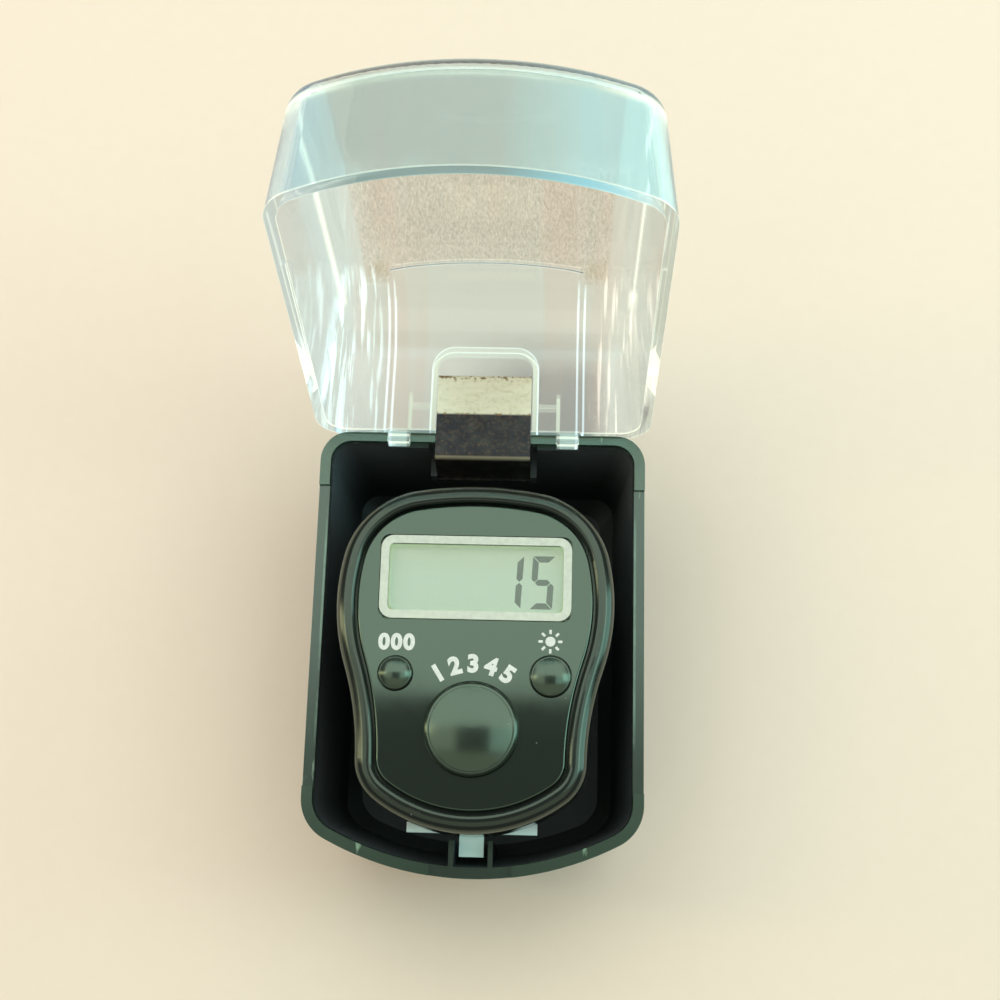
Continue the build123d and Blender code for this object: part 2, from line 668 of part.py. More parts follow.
def make_lcd_glass():
    sheet = LCD_T / 2
    half = LCD_W / 2
    low, high = lcd_edge(-1), lcd_edge(1)
    front = block(-half, half, low, high, -PLATE_T - sheet, -PLATE_T)
    return front + block(-half, half, low + LCD_LEDGE, high, -PLATE_T - LCD_T, -PLATE_T - sheet)


def make_light_guide():
    half = GUIDE_PLATE_W / 2
    low = lcd_edge(-1) + LCD_LEDGE
    return block(-half, half, low, lcd_edge(1), BOARD_TOP, BOARD_TOP + GUIDE_PLATE_T)


def make_contact_strip():
    middle = lcd_edge(-1) + LCD_LEDGE / 2
    half = STRIP_W / 2
    return block(-half, half, middle - STRIP_D / 2, middle + STRIP_D / 2, BOARD_TOP, -PLATE_T - LCD_T / 2)


def make_backlight_lamp():
    x0 = GUIDE_PLATE_W / 2 + FIT_GAP
    low, high = WINDOW_Y - LAMP_L / 2, WINDOW_Y + LAMP_L / 2
    body = block(x0, x0 + LAMP_W, low, high, BOARD_TOP, BOARD_TOP + LAMP_H)
    return chamfer(body.edges().filter_by(Axis.Z), LAMP_CHAMFER)


def make_circuit_board():
    board = rise(counter_outline(SHELL_WALL + BOARD_GAP), BOARD_BOTTOM, BOARD_TOP)
    for x, y in SCREW_SPOTS:
        board -= disc(BOSS_R + FIT_GAP, x, y, BOARD_BOTTOM, BOARD_TOP)
    return board


def make_chip_cover():
    """Drop of black resin over the chip."""
    profile = Polyline((0, BOARD_BOTTOM - CHIP_H), (0, BOARD_BOTTOM), (CHIP_R, BOARD_BOTTOM))
    profile += TangentArc((0, BOARD_BOTTOM - CHIP_H), (CHIP_R, BOARD_BOTTOM), tangent=(1, 0))
    return Pos(0, COUNT_Y - CHIP_DOWN, 0) * revolve(Plane.XZ * make_face(profile), Axis.Z)


def make_board_chips():
    middle = BOARD_BOTTOM - CHIPS_H / 2
    return Compound(children=[Pos(x, COUNT_Y + y, middle) * Box(w, d, CHIPS_H) for x, y, w, d in CHIPS])


def make_button(name):
    x, y, radius, top, *_ = BUTTONS[name]
    flange = radius + BUTTON_PLAY + FLANGE_W
    shoulder = radius * SHOULDER_SHARE
    edge_z = top * SIDE_SHARE
    dome_z = top * DOME_SHARE
    profile = Polyline(
        (0, top),
        (0, FLANGE_BOTTOM),
        (flange, FLANGE_BOTTOM),
        (flange, FLANGE_BOTTOM + FLANGE_T),
        (radius, FLANGE_BOTTOM + FLANGE_T),
        (radius, edge_z),
    )
    knee = (radius - shoulder * KNEE_IN, edge_z + (dome_z - edge_z) * KNEE_UP)
    profile += ThreePointArc((radius, edge_z), knee, (radius - shoulder, dome_z))
    profile += TangentArc((0, top), (radius - shoulder, dome_z), tangent=(1, 0))
    return Pos(x, y, 0) * revolve(Plane.XZ * make_face(profile), Axis.Z)


def make_pill(name):
    """Carbon pill under a button."""
    x, y, _, _, travel, pill_r = BUTTONS[name]
    return disc(pill_r, x, y, BOARD_TOP + travel + PILL_GAP, FLANGE_BOTTOM)


def make_pad(name):
    """Rubber skirt between board and button, open in the middle for the pill."""
    x, y, radius, _, _, pill_r = BUTTONS[name]
    foot = radius
    head = foot - PAD_LEAN
    hole = pill_r + FIT_GAP
    roof = FLANGE_BOTTOM - PAD_TOP_T
    under = max(head - PAD_WALL, hole)
    profile = Polyline(
        (foot, BOARD_TOP),
        (head, FLANGE_BOTTOM),
        (hole, FLANGE_BOTTOM),
        (hole, roof),
        (under + FIT_GAP, roof),
        (foot - PAD_WALL, BOARD_TOP),
        close=True,
    )
    return Pos(x, y, 0) * revolve(Plane.XZ * make_face(profile), Axis.Z)


def make_cell(side):
    """Coin cell; the right one lies the other way up, so that the two are in series."""
    low, high, step = CELL_BOTTOM, CELL_TOP, CELL_CAP_T
    x = side * CELL_X
    if side < 0:
        can, cap = (low + step, high), (low, low + step)
    else:
        can, cap = (low, high - step), (high - step, high)
    return disc(CELL_R, x, CELL_Y, *can) + disc(CELL_CAP_R, x, CELL_Y, *cap)


def make_cell_contact(side):
    """Plate on the board with a pressed dimple that reaches the cell."""
    x = side * CELL_X
    half = CONTACT_W / 2
    low = BOARD_BOTTOM - CONTACT_T
    plate = block(x - half, x + half, CELL_Y - half, CELL_Y + half, low, BOARD_BOTTOM)
    depth = low - CELL_TOP
    tip = Pos(x, CELL_Y, CELL_TOP + depth / 2) * Cone(CONTACT_TIP_R, CONTACT_TIP_R + depth, depth)
    return plate + tip


def make_cell_bridge():
    plan = Pos(0, CELL_Y) * RectangleRounded(BRIDGE_L, BRIDGE_W, BRIDGE_CORNER_R)
    return rise(plan, SHELL_INSIDE, CELL_BOTTOM)


def door_tab(radius):
    """Plan of the door's screw tab, run into the bay."""
    neck = Pos(0, (DOOR_TAB_Y + CELL_Y) / 2) * Rectangle(2 * radius, CELL_Y - DOOR_TAB_Y)
    return Pos(0, DOOR_TAB_Y) * Circle(radius) + neck


def make_battery_door():
    bay = CELL_R + CELL_PLAY
    ledge = SHELL_BACK + DOOR_T
    door = rise(stadium(bay + DOOR_LIP - FIT_GAP), SHELL_BACK, ledge)
    door += rise(stadium(bay - FIT_GAP) + door_tab(DOOR_TAB_R), ledge, SHELL_INSIDE)
    return door - disc(SCREW_R + FIT_GAP, 0, DOOR_TAB_Y, SHELL_BACK, SHELL_INSIDE)


def ring_slot(gap):
    """Plan of the two slots, or the two band ends, in the rear shell."""
    middle = RING_BORE / 2 + RING_T / 2
    size = RING_T + 2 * gap, RING_BAND + 2 * gap
    return Pos(-middle, RING_Y) * Rectangle(*size) + Pos(middle, RING_Y) * Rectangle(*size)


def make_rear_shell():
    shell = rise(counter_outline(0), SHELL_BACK, PARTING_Z)
    shell = fillet(edges_at(shell, SHELL_BACK, True), SHELL_EDGE_R)
    shell -= rise(counter_outline(SHELL_WALL), SHELL_INSIDE, PARTING_Z)
    lip_in = counter_outline(SHELL_WALL + FIT_GAP + LIP_T)
    shell += rise(counter_outline(SHELL_WALL - FIT_GAP) - lip_in, SHELL_INSIDE, PARTING_Z)
    shell += rise(counter_outline(SHELL_WALL + FIT_GAP) - lip_in, PARTING_Z, BOARD_BOTTOM)
    bay = CELL_R + CELL_PLAY
    shell += rise(stadium(bay + BAY_WALL), SHELL_INSIDE, BOARD_BOTTOM - BAY_TOP_GAP)
    for x, y in SCREW_SPOTS:
        shell += disc(POST_R, x, y, SHELL_INSIDE, -BOSS_END)
    post_r = DOOR_TAB_R + FIT_GAP + BAY_WALL
    shell += disc(post_r, 0, DOOR_TAB_Y, SHELL_INSIDE, -BOSS_END)
    shell -= rise(stadium(bay), SHELL_INSIDE, BOARD_BOTTOM)
    shell -= rise(stadium(bay), SHELL_BACK, SHELL_INSIDE)
    shell -= rise(stadium(bay + DOOR_LIP), SHELL_BACK, SHELL_BACK + DOOR_T)
    shell -= rise(door_tab(DOOR_TAB_R + FIT_GAP), SHELL_BACK, SHELL_INSIDE)
    shell -= disc(SCREW_PILOT_R, 0, DOOR_TAB_Y, SHELL_INSIDE, SHELL_INSIDE + DOOR_SCREW_L)
    for x, y in SCREW_SPOTS:
        shell -= disc(SCREW_PILOT_R + FIT_GAP, x, y, SHELL_BACK, -BOSS_END)
        shell -= disc(SCREW_HEAD_R + FIT_GAP, x, y, SHELL_BACK, SHELL_BACK + SCREW_SINK)
    return shell - rise(ring_slot(FIT_GAP), SHELL_BACK, SHELL_INSIDE)


def cross_head_screw(x, y, low, seat, tip):
    """Pan-head screw, head down: head from low to its seat, shank from there to its tip."""
    screw = disc(SCREW_HEAD_R, x, y, low, seat) + disc(SCREW_R, x, y, seat, tip)
    arm = SCREW_SLOT_ARM
    for half_x, half_y in ((arm, SCREW_SLOT / 2), (SCREW_SLOT / 2, arm)):
        screw -= block(x - half_x, x + half_x, y - half_y, y + half_y, low, low + SCREW_SLOT_DEPTH)
    return screw


def make_housing_screws():
    seat = SHELL_BACK + SCREW_SINK
    low = seat - SCREW_HEAD_H
    tip = -PLATE_T - BOSS_ROOF
    return Compound(children=[cross_head_screw(x, y, low, seat, tip) for x, y in SCREW_SPOTS])


def make_door_screw():
    low = SHELL_BACK + FIT_GAP
    tip = SHELL_INSIDE + DOOR_SCREW_L - FIT_GAP
    return cross_head_screw(0, DOOR_TAB_Y, low, SHELL_BACK + DOOR_T, tip)


def make_finger_ring():
    """Soft loop under the counter, its two ends hooked on the shell's floor."""
    inner = RING_BORE / 2
    outer = inner + RING_T
    bend_z = SHELL_BACK - RING_DEPTH + inner
    hook_top = SHELL_INSIDE + RING_HOOK_T
    y0, y1 = RING_Y - RING_BAND / 2, RING_Y + RING_BAND / 2
    tube = Cylinder(outer, RING_BAND) - Cylinder(inner, RING_BAND)
    band = Pos(0, RING_Y, bend_z) * Rot(90, 0, 0) * tube
    band -= block(-outer, outer, y0, y1, bend_z, bend_z + outer)
    for side in (-1, 1):
        band += block(side * inner, side * outer, y0, y1, bend_z, hook_top)
        band += block(side * (inner - RING_HOOK), side * outer, y0, y1, SHELL_INSIDE, hook_top)
    return band


CASE_NODES = {
    "case_base": make_case_base(),
    "case_lid": make_case_lid(),
    "hinge_spring": make_hinge_spring(),
    "seat_strip": make_seat_strip(),
}
COUNTER_NODES = {
    "bezel_ring": make_bezel_ring(),
    "face_plate": make_face_plate(),
    "rear_shell": make_rear_shell(),
    "display_window": make_display_window(),
    "lcd_glass": make_lcd_glass(),
    "light_guide": make_light_guide(),
    "backlight_lamp": make_backlight_lamp(),
    "contact_strip": make_contact_strip(),
    "circuit_board": make_circuit_board(),
    "chip_cover": make_chip_cover(),
    "board_chips": make_board_chips(),
    "cell_left": make_cell(-1),
    "cell_right": make_cell(1),
    "cell_contact_left": make_cell_contact(-1),
    "cell_contact_right": make_cell_contact(1),
    "cell_bridge": make_cell_bridge(),
    "battery_door": make_battery_door(),
    "door_screw": make_door_screw(),
    "housing_screws": make_housing_screws(),
    "finger_ring": make_finger_ring(),
}
for button in BUTTONS:
    COUNTER_NODES[button + "_button"] = make_button(button)
    COUNTER_NODES[button + "_contact"] = make_pill(button)
    COUNTER_NODES[button + "_pad"] = make_pad(button)

os.makedirs("parts", exist_ok=True)
for name, shape in CASE_NODES.items():
    export_step(shape, f"parts/{name}.step")
for name, shape in COUNTER_NODES.items():
    export_step(COUNTER_AT * shape, f"parts/{name}.step")
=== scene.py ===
from math import atan2, cos, pi, radians, sin

import bpy
from mathutils import Euler, Matrix, Vector


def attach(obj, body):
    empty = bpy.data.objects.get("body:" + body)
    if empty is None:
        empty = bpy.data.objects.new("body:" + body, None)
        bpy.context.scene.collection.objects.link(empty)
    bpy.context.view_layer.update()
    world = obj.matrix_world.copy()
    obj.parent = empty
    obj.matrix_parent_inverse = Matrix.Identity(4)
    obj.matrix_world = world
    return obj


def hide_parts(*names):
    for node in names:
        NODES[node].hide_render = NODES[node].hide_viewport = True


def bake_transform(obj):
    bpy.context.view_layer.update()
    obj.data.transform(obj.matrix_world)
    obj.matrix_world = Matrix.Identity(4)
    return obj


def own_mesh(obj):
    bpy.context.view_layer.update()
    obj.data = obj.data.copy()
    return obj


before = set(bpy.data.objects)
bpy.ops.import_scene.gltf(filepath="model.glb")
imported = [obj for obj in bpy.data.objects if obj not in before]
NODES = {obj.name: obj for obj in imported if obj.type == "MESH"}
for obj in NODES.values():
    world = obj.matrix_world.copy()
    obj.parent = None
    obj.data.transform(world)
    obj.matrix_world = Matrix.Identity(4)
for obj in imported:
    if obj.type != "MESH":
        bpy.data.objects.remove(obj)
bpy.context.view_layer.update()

MM = 0.001

# Places taken over from the solids, in millimetres
COUNTER_Y = -2.095        # middle of the counter
FACE_Z = 32.0             # top of its face plate
BOARD_Z = 28.1            # top of the circuit board
FLANGE_Z = 29.7           # underside of the buttons' flanges
LCD_Z = FACE_Z - 1.5
WINDOW_Y = 9.4            # from the counter's middle
WINDOW_SIZE = (23.3, 10.3)
VIEW_MARGIN = 1.1         # from the window's edge to the opening under it
BORDER_W, BORDER_R, BORDER_T = 1.02, 1.6, 0.06   # printed border, its corners and its thickness
HINGE = (27.475, 23.1)    # y, z
LID_TURN = 101.0          # degrees from closed
RING_MIDDLE = COUNTER_Y - 7.0
BACK_Z = FACE_Z - 10.3    # counter's back
SPRING_W, SPRING_T = 12.3, 0.35
SPRING_LINE = ((36.275, 22.929), (30.821, 23.64), (24.625, 24.32), (24.056, 17.5), (23.456, 17.7))
FOLDS = ((1, 0.3), (2, 0.6), (3, 0.2))     # point of the line and its bend radius
SPRING_EDGE = 0.06        # rounding of its edges
SPRING_CUTS, SPRING_SPAN = 9, 0.8          # cuts across each stretch longer than the span
BUTTONS = {"count": (0.0, -8.9, 5.6), "reset": (-9.3, -2.45, 2.05), "led": (9.3, -2.45, 2.45)}


# Modelling helpers
def clear_selection():
    if bpy.context.object and bpy.context.object.mode != "OBJECT":
        bpy.ops.object.mode_set(mode="OBJECT")
    bpy.ops.object.select_all(action="DESELECT")


def started(name):
    """Names the primitive that was just added and settles its place into its mesh."""
    piece = bpy.context.object
    piece.name = piece.data.name = name
    bpy.ops.object.transform_apply(location=True, rotation=True, scale=True)
    return piece


def edit(piece, kind="VERT"):
    clear_selection()
    piece.select_set(True)
    bpy.context.view_layer.objects.active = piece
    bpy.ops.object.mode_set(mode="EDIT")
    bpy.ops.mesh.select_mode(type=kind)
    bpy.ops.mesh.select_all(action="DESELECT")


def pick(piece, kind, test):
    """Selects the vertices, edges or faces whose middle passes a test."""
    edit(piece, kind)
    bpy.ops.object.mode_set(mode="OBJECT")
    mesh = piece.data
    if kind == "VERT":
        for v in mesh.vertices:
            v.select = test(v.co)
    elif kind == "EDGE":
        for e in mesh.edges:
            a, b = (mesh.vertices[i].co for i in e.vertices)
            e.select = test(a) and test(b)
    else:
        for f in mesh.polygons:
            f.select = test(f.center)
    bpy.ops.object.mode_set(mode="EDIT")


def finish_with(piece, *modifiers):
    """Adds modifiers one after another and applies them."""
    clear_selection()
    piece.select_set(True)
    bpy.context.view_layer.objects.active = piece
    for kind, values in modifiers:
        m = piece.modifiers.new(kind.lower(), kind)
        for key, value in values.items():
            setattr(m, key, value)
        bpy.ops.object.modifier_apply(modifier=m.name)


def smooth(piece, degrees=35):
    clear_selection()
    piece.select_set(True)
    bpy.context.view_layer.objects.active = piece
    bpy.ops.object.shade_smooth_by_angle(angle=radians(degrees))


def outward(piece):
    """Merges doubles and turns the faces outwards."""
    edit(piece)
    bpy.ops.mesh.select_all(action="SELECT")
    bpy.ops.mesh.remove_doubles(threshold=1e-7)
    bpy.ops.mesh.normals_make_consistent(inside=False)
    bpy.ops.object.mode_set(mode="OBJECT")


def extrude_by(dx, dy, dz):
    bpy.ops.mesh.extrude_region_move(TRANSFORM_OT_translate={"value": (dx * MM, dy * MM, dz * MM)})


def join(pieces, name):
    """Makes one named piece of several, in the first of them."""
    clear_selection()
    for piece in pieces:
        piece.select_set(True)
    bpy.context.view_layer.objects.active = pieces[0]
    bpy.ops.object.join()
    pieces[0].name = pieces[0].data.name = name


# Materials
def place(tree, kind, links=(), **values):
    """A node with its attributes, plain input values and incoming links."""
    n = tree.nodes.new("ShaderNode" + kind)
    for key, value in values.items():
        if hasattr(n, key):
            setattr(n, key, value)
        else:
            n.inputs[key.replace("_", " ")].default_value = value
    for socket, source in dict(links).items():
        tree.links.new(source, n.inputs[socket])
    return n


def group(name, inputs, output):
    tree = bpy.data.node_groups.new(name, "ShaderNodeTree")
    for label, value in inputs.items():
        kind = "NodeSocketVector" if value is None else "NodeSocketFloat"
        socket = tree.interface.new_socket(label, in_out="INPUT", socket_type=kind)
        if value is not None:
            socket.default_value = value
    tree.interface.new_socket(output, in_out="OUTPUT", socket_type="NodeSocketFloat")
    return tree, tree.nodes.new("NodeGroupInput").outputs, tree.nodes.new("NodeGroupOutput").inputs[output]


def make_specks():
    """Small round specks scattered over a surface."""
    tree, given, out = group("specks", {"Vector": None, "Scale": 900.0, "Size": 0.2, "Share": 0.3}, "Mask")
    cells = place(tree, "TexVoronoi", {"Vector": given["Vector"], "Scale": given["Scale"]})
    chance = place(tree, "SeparateColor", {0: cells.outputs["Color"]})
    kept = place(tree, "Math", {0: chance.outputs[0], 1: given["Share"]}, operation="LESS_THAN")
    width = place(tree, "Math", {0: chance.outputs[1], 1: given["Size"]}, operation="MULTIPLY")
    near = place(tree, "MapRange", {"Value": cells.outputs["Distance"], "From Max": width.outputs[0]},
                 interpolation_type="SMOOTHSTEP", To_Min=1.0, To_Max=0.0)
    mask = place(tree, "Math", {0: near.outputs[0], 1: kept.outputs[0]}, operation="MULTIPLY")
    tree.links.new(mask.outputs[0], out)
    return tree


def make_scratches():
    """Thin broken lines along a stretched direction."""
    tree, given, out = group("scratches", {"Vector": None, "Scale": 60.0, "Width": 0.03}, "Mask")
    bend = place(tree, "TexNoise", {"Vector": given["Vector"], "Scale": given["Scale"]}, Detail=2.0)
    off = place(tree, "Math", {0: bend.outputs[0]}, operation="SUBTRACT")
    off.inputs[1].default_value = 0.5
    size = place(tree, "Math", {0: off.outputs[0]}, operation="ABSOLUTE")
    line = place(tree, "MapRange", {"Value": size.outputs[0], "From Max": given["Width"]},
                 To_Min=1.0, To_Max=0.0)
    broken = place(tree, "TexNoise", {"Vector": given["Vector"]}, Scale=37.0, Detail=1.0)
    part = place(tree, "MapRange", {"Value": broken.outputs[0]}, From_Min=0.48, From_Max=0.62)
    mask = place(tree, "Math", {0: line.outputs[0], 1: part.outputs[0]}, operation="MULTIPLY")
    tree.links.new(mask.outputs[0], out)
    return tree


def make_moulding():
    """The faint uneven skin of moulded plastic, from 0 to 1."""
    tree, given, out = group("moulding", {"Vector": None, "Scale": 500.0}, "Height")
    broad = place(tree, "TexNoise", {"Vector": given["Vector"]}, Scale=90.0, Detail=2.0)
    fine = place(tree, "TexNoise", {"Vector": given["Vector"], "Scale": given["Scale"]}, Detail=3.0)
    both = place(tree, "Math", {0: broad.outputs[0], 1: fine.outputs[0]}, operation="ADD")
    half = place(tree, "Math", {0: both.outputs[0]}, operation="MULTIPLY")
    half.inputs[1].default_value = 0.5
    tree.links.new(half.outputs[0], out)
    return tree


SPECKS, SCRATCHES, MOULDING = make_specks(), make_scratches(), make_moulding()


class Finish:
    """One material: its tree, its main shader and short ways to build on it."""

    def __init__(self, name, color, roughness, **values):
        self.material = bpy.data.materials.new(name)
        self.material.use_nodes = True
        self.tree = self.material.node_tree
        self.shader = self.tree.nodes["Principled BSDF"]
        self.coords, self.normals = (self.node("TexCoord").outputs[key] for key in ("Object", "Normal"))
        self.set(Base_Color=(*color, 1.0), Roughness=roughness, **values)

    def node(self, kind, links=(), **values):
        return place(self.tree, kind, links, **values)

    def set(self, **values):
        for key, value in values.items():
            self.shader.inputs[key.replace("_", " ")].default_value = value

    def feed(self, socket, source):
        self.tree.links.new(source, self.shader.inputs[socket])

    def fed(self, socket):
        return self.shader.inputs[socket].links[0].from_socket

    def mapped(self, scale=(1, 1, 1), turn=(0, 0, 0), shift=(0, 0, 0), source=None):
        m = self.node("Mapping", {"Vector": source or self.coords})
        m.inputs["Location"].default_value = shift
        m.inputs["Rotation"].default_value = tuple(radians(t) for t in turn)
        m.inputs["Scale"].default_value = scale
        return m.outputs[0]

    def use(self, tree, vector=None, **values):
        n = self.tree.nodes.new("ShaderNodeGroup")
        n.node_tree = tree
        self.tree.links.new(vector or self.coords, n.inputs["Vector"])
        for key, value in values.items():
            n.inputs[key].default_value = value
        return n.outputs[0]

    def noise(self, scale, detail=3.0, vector=None):
        return self.node("TexNoise", {"Vector": vector or self.coords}, Scale=scale, Detail=detail).outputs[0]

    def ramp(self, source, low, high, out_low=0.0, out_high=1.0):
        n = self.node("MapRange", {"Value": source})
        for key, value in (("From Min", low), ("From Max", high), ("To Min", out_low), ("To Max", out_high)):
            n.inputs[key].default_value = value
        return n.outputs[0]

    def math(self, operation, a, b):
        n = self.node("Math", operation=operation)
        for i, side in enumerate((a, b)):
            if isinstance(side, (int, float)):
                n.inputs[i].default_value = side
            else:
                self.tree.links.new(side, n.inputs[i])
        return n.outputs[0]

    def both(self, *masks):
        total = masks[0]
        for mask in masks[1:]:
            total = self.math("MULTIPLY", total, mask)
        return total

    def either(self, *masks):
        total = masks[0]
        for mask in masks[1:]:
            total = self.math("MAXIMUM", total, mask)
        return total

    def within(self, value, middle, half, soft):
        """1 where a value lies within half of a middle, fading over soft."""
        off = self.math("ABSOLUTE", self.math("SUBTRACT", value, middle), 0)
        return self.ramp(off, half + soft, half - soft)

    def length(self, vector):
        return self.node("VectorMath", {0: vector}, operation="LENGTH").outputs["Value"]

    def blend(self, mask, a, b):
        """Colour a where the mask is 0 and b where it is 1."""
        n = self.node("Mix", data_type="RGBA")
        self.tree.links.new(mask, n.inputs[0])
        for i, side in ((6, a), (7, b)):
            if isinstance(side, tuple):
                n.inputs[i].default_value = (*side, 1.0)
            else:
                self.tree.links.new(side, n.inputs[i])
        return n.outputs[2]

    def axis(self, index, vector=None):
        return self.node("SeparateXYZ", {0: vector or self.coords}).outputs[index]

    def bump(self, height, strength, distance):
        n = self.node("Bump", {"Height": height}, Strength=strength, Distance=distance)
        self.feed("Normal", n.outputs[0])

    def let_lamps_through(self, share):
        """Clear plastic takes only part of the light that passes to what is behind it."""
        ray = self.node("LightPath").outputs["Is Shadow Ray"]
        part = self.math("MULTIPLY", ray, share)
        film = self.node("BsdfTransparent")
        mix = self.node("MixShader", {0: part, 1: self.shader.outputs[0], 2: film.outputs[0]})
        self.tree.links.new(mix.outputs[0], self.tree.nodes["Material Output"].inputs["Surface"])


GREEN_GLOSS = (0.68, 1.0, 0.74, 1.0)
SHELL_GLOSS = (0.75, 1.0, 0.77, 1.0)
TRAY_GLOSS = (0.82, 1.0, 0.93, 1.0)
DUST = (0.42, 0.45, 0.42)
NO_GLOW = (0.0, 0.0, 0.0)
# painted light: a pale colour and a glow for the walls around the display
RECESS_PAINTED_LIGHT, RECESS_PAINTED_GLOW = (0.62, 0.72, 0.50), (0.15, 0.18, 0.13)
VIEW_EDGE = 0.15          # how far the walls with painted light reach past the display's opening


def black_plastic(name, color, roughness, skin, dust, tint=GREEN_GLOSS, index=1.7):
    """Glossy black plastic: uneven skin and a little dust."""
    f = Finish(name, color, roughness, Specular_Tint=tint, IOR=index, Specular_IOR_Level=0.75)
    height = f.use(MOULDING)
    specks = f.use(SPECKS, Scale=900.0, Size=0.12, Share=dust)
    rough = f.ramp(height, 0.3, 0.7, roughness * 0.8, roughness * 1.2)
    f.feed("Roughness", f.math("ADD", rough, f.math("MULTIPLY", specks, 0.18)))
    f.feed("Base Color", f.blend(f.math("MULTIPLY", specks, 0.7), color, DUST))
    f.bump(height, skin, 0.00004)
    return f


def face_finish():
    """High-gloss face plate; the walls around the display get painted light, a pale colour and a glow."""
    f = black_plastic("face_black", (0.009, 0.012, 0.010), 0.07, 0.03, 0.05)
    width, height = (side / 2 - VIEW_MARGIN + VIEW_EDGE for side in WINDOW_SIZE)
    near = f.both(f.within(f.axis(0), 0.0, width * MM, 0.05 * MM),
                  f.within(f.axis(1), (COUNTER_Y + WINDOW_Y) * MM, height * MM, 0.05 * MM))
    # painted light on the walls below the face, around the display's opening
    inside = f.both(near, f.ramp(f.axis(2), (FACE_Z - 0.2) * MM, (FACE_Z - 0.3) * MM))
    f.feed("Base Color", f.blend(inside, f.fed("Base Color"), RECESS_PAINTED_LIGHT))
    f.set(Emission_Strength=1.0)
    f.feed("Emission Color", f.blend(inside, NO_GLOW, RECESS_PAINTED_GLOW))
    return f.material


# Zones of the tray, in millimetres
TRAY_MIDDLE = 12.0
RIM_ZONE = (22.9, 23.9)   # heights over which the rim's coat and its painted sheen set in
DULL_ZONE = (22.6, 21.6)  # heights over which the inside turns dull
DEPTH_SHADE_ZONE = (6.0, 21.0)   # painted shade inside: from the darkest to the palest height
LIP_X, LIP_HALF = 19.75, 0.14              # painted highlight line along the rim's inner edge
LIP_Y, LIP_REACH = 3.0, 13.0
TRAY_DEPTH_SHADE = ((0.012, 0.015, 0.015), (0.085, 0.102, 0.106))
TRAY_RIM_SHEEN, TRAY_LIP_HIGHLIGHT, TRAY_NICK = (0.036, 0.049, 0.040), (0.26, 0.34, 0.31), (0.5, 0.56, 0.5)


def case_finish():
    """Black tray: glossy outside, dull inside with painted shade that deepens downwards; a nicked rim with a
    painted sheen and a painted highlight along its inner edge.
    """
    f = black_plastic("tray_black", (0.006, 0.007, 0.007), 0.2, 0.1, 0.06)
    f.set(IOR=1.5, Specular_Tint=TRAY_GLOSS, Coat_Roughness=0.22, Coat_Tint=GREEN_GLOSS)
    up = f.axis(2)
    at_rim, low, height = (f.ramp(up, *(h * MM for h in zone)) for zone in (RIM_ZONE, DULL_ZONE, DEPTH_SHADE_ZONE))
    f.feed("Coat Weight", at_rim)
    from_middle = f.mapped(shift=(0, 0, -TRAY_MIDDLE * MM))
    facing = f.node("VectorMath", {0: from_middle, 1: f.normals}, operation="DOT_PRODUCT").outputs["Value"]
    inside = f.ramp(facing, 0.0, -0.001)
    # painted shade: the inside darkens with depth and pales towards the rim
    body = f.blend(inside, f.fed("Base Color"), f.blend(height, *TRAY_DEPTH_SHADE))
    # painted sheen: the rim coloured paler and greener, for the reflection it catches
    body = f.blend(at_rim, body, TRAY_RIM_SHEEN)
    lip = f.both(f.within(f.math("ABSOLUTE", f.axis(0), 0), LIP_X * MM, LIP_HALF * MM, 0.1 * MM),
                 f.within(f.axis(1), LIP_Y * MM, LIP_REACH * MM, 3 * MM))
    # painted highlight along the rim's inner edge, broken up by noise
    lip_highlight = f.both(at_rim, lip, f.ramp(f.noise(150.0, 3.0), 0.40, 0.56))
    nicks = f.both(at_rim, f.ramp(f.noise(420.0, 4.0, f.mapped((1, 0.25, 1))), 0.66, 0.72))
    f.feed("Base Color", f.blend(nicks, f.blend(lip_highlight, body, TRAY_LIP_HIGHLIGHT), TRAY_NICK))
    flat = f.ramp(f.axis(2, f.normals), 0.5, 0.9)
    dull = f.math("MULTIPLY", f.both(low, f.either(inside, flat)), 0.35)
    f.feed("Roughness", f.math("ADD", f.fed("Roughness"), dull))
    return f.material


# Places on the closed lid, in millimetres, for its finish
LID_BOW = (11.02, 39.2)   # middle, as y, and radius of the bowed front
LID_RIM = 24.0
LID_TOP = (42.5, 0.0923)  # height of the top over the middle, and its slope
LID_EDGE = 3.0            # where the top's rounded edge begins, below the top
PATCH_EDGE = 15.4         # y where the patch by the hinge ends, on the middle line
PATCH_BOW = 2.0
PANEL_HALF = 15.9         # half width of the clear panel
PANEL_FOOT = 19.6         # y where the panel ends beside the long ribs
BRUSHED_FROM = (-9.0, -3.0)                # y over which the panel's brushed half sets in
LONG_RIB = (12.55, 0.55, 18.3)             # x, half width, height over the rim
ARCH = (7.1, 12.1, 3.0, 0.8)               # half width, height over the rim, corner, width of the rib
STAY = (9.7, 0.25, 5.4)                    # x, half width, height over the rim
CROSSBAR = (3.7, 0.3)                      # height over the rim, half width


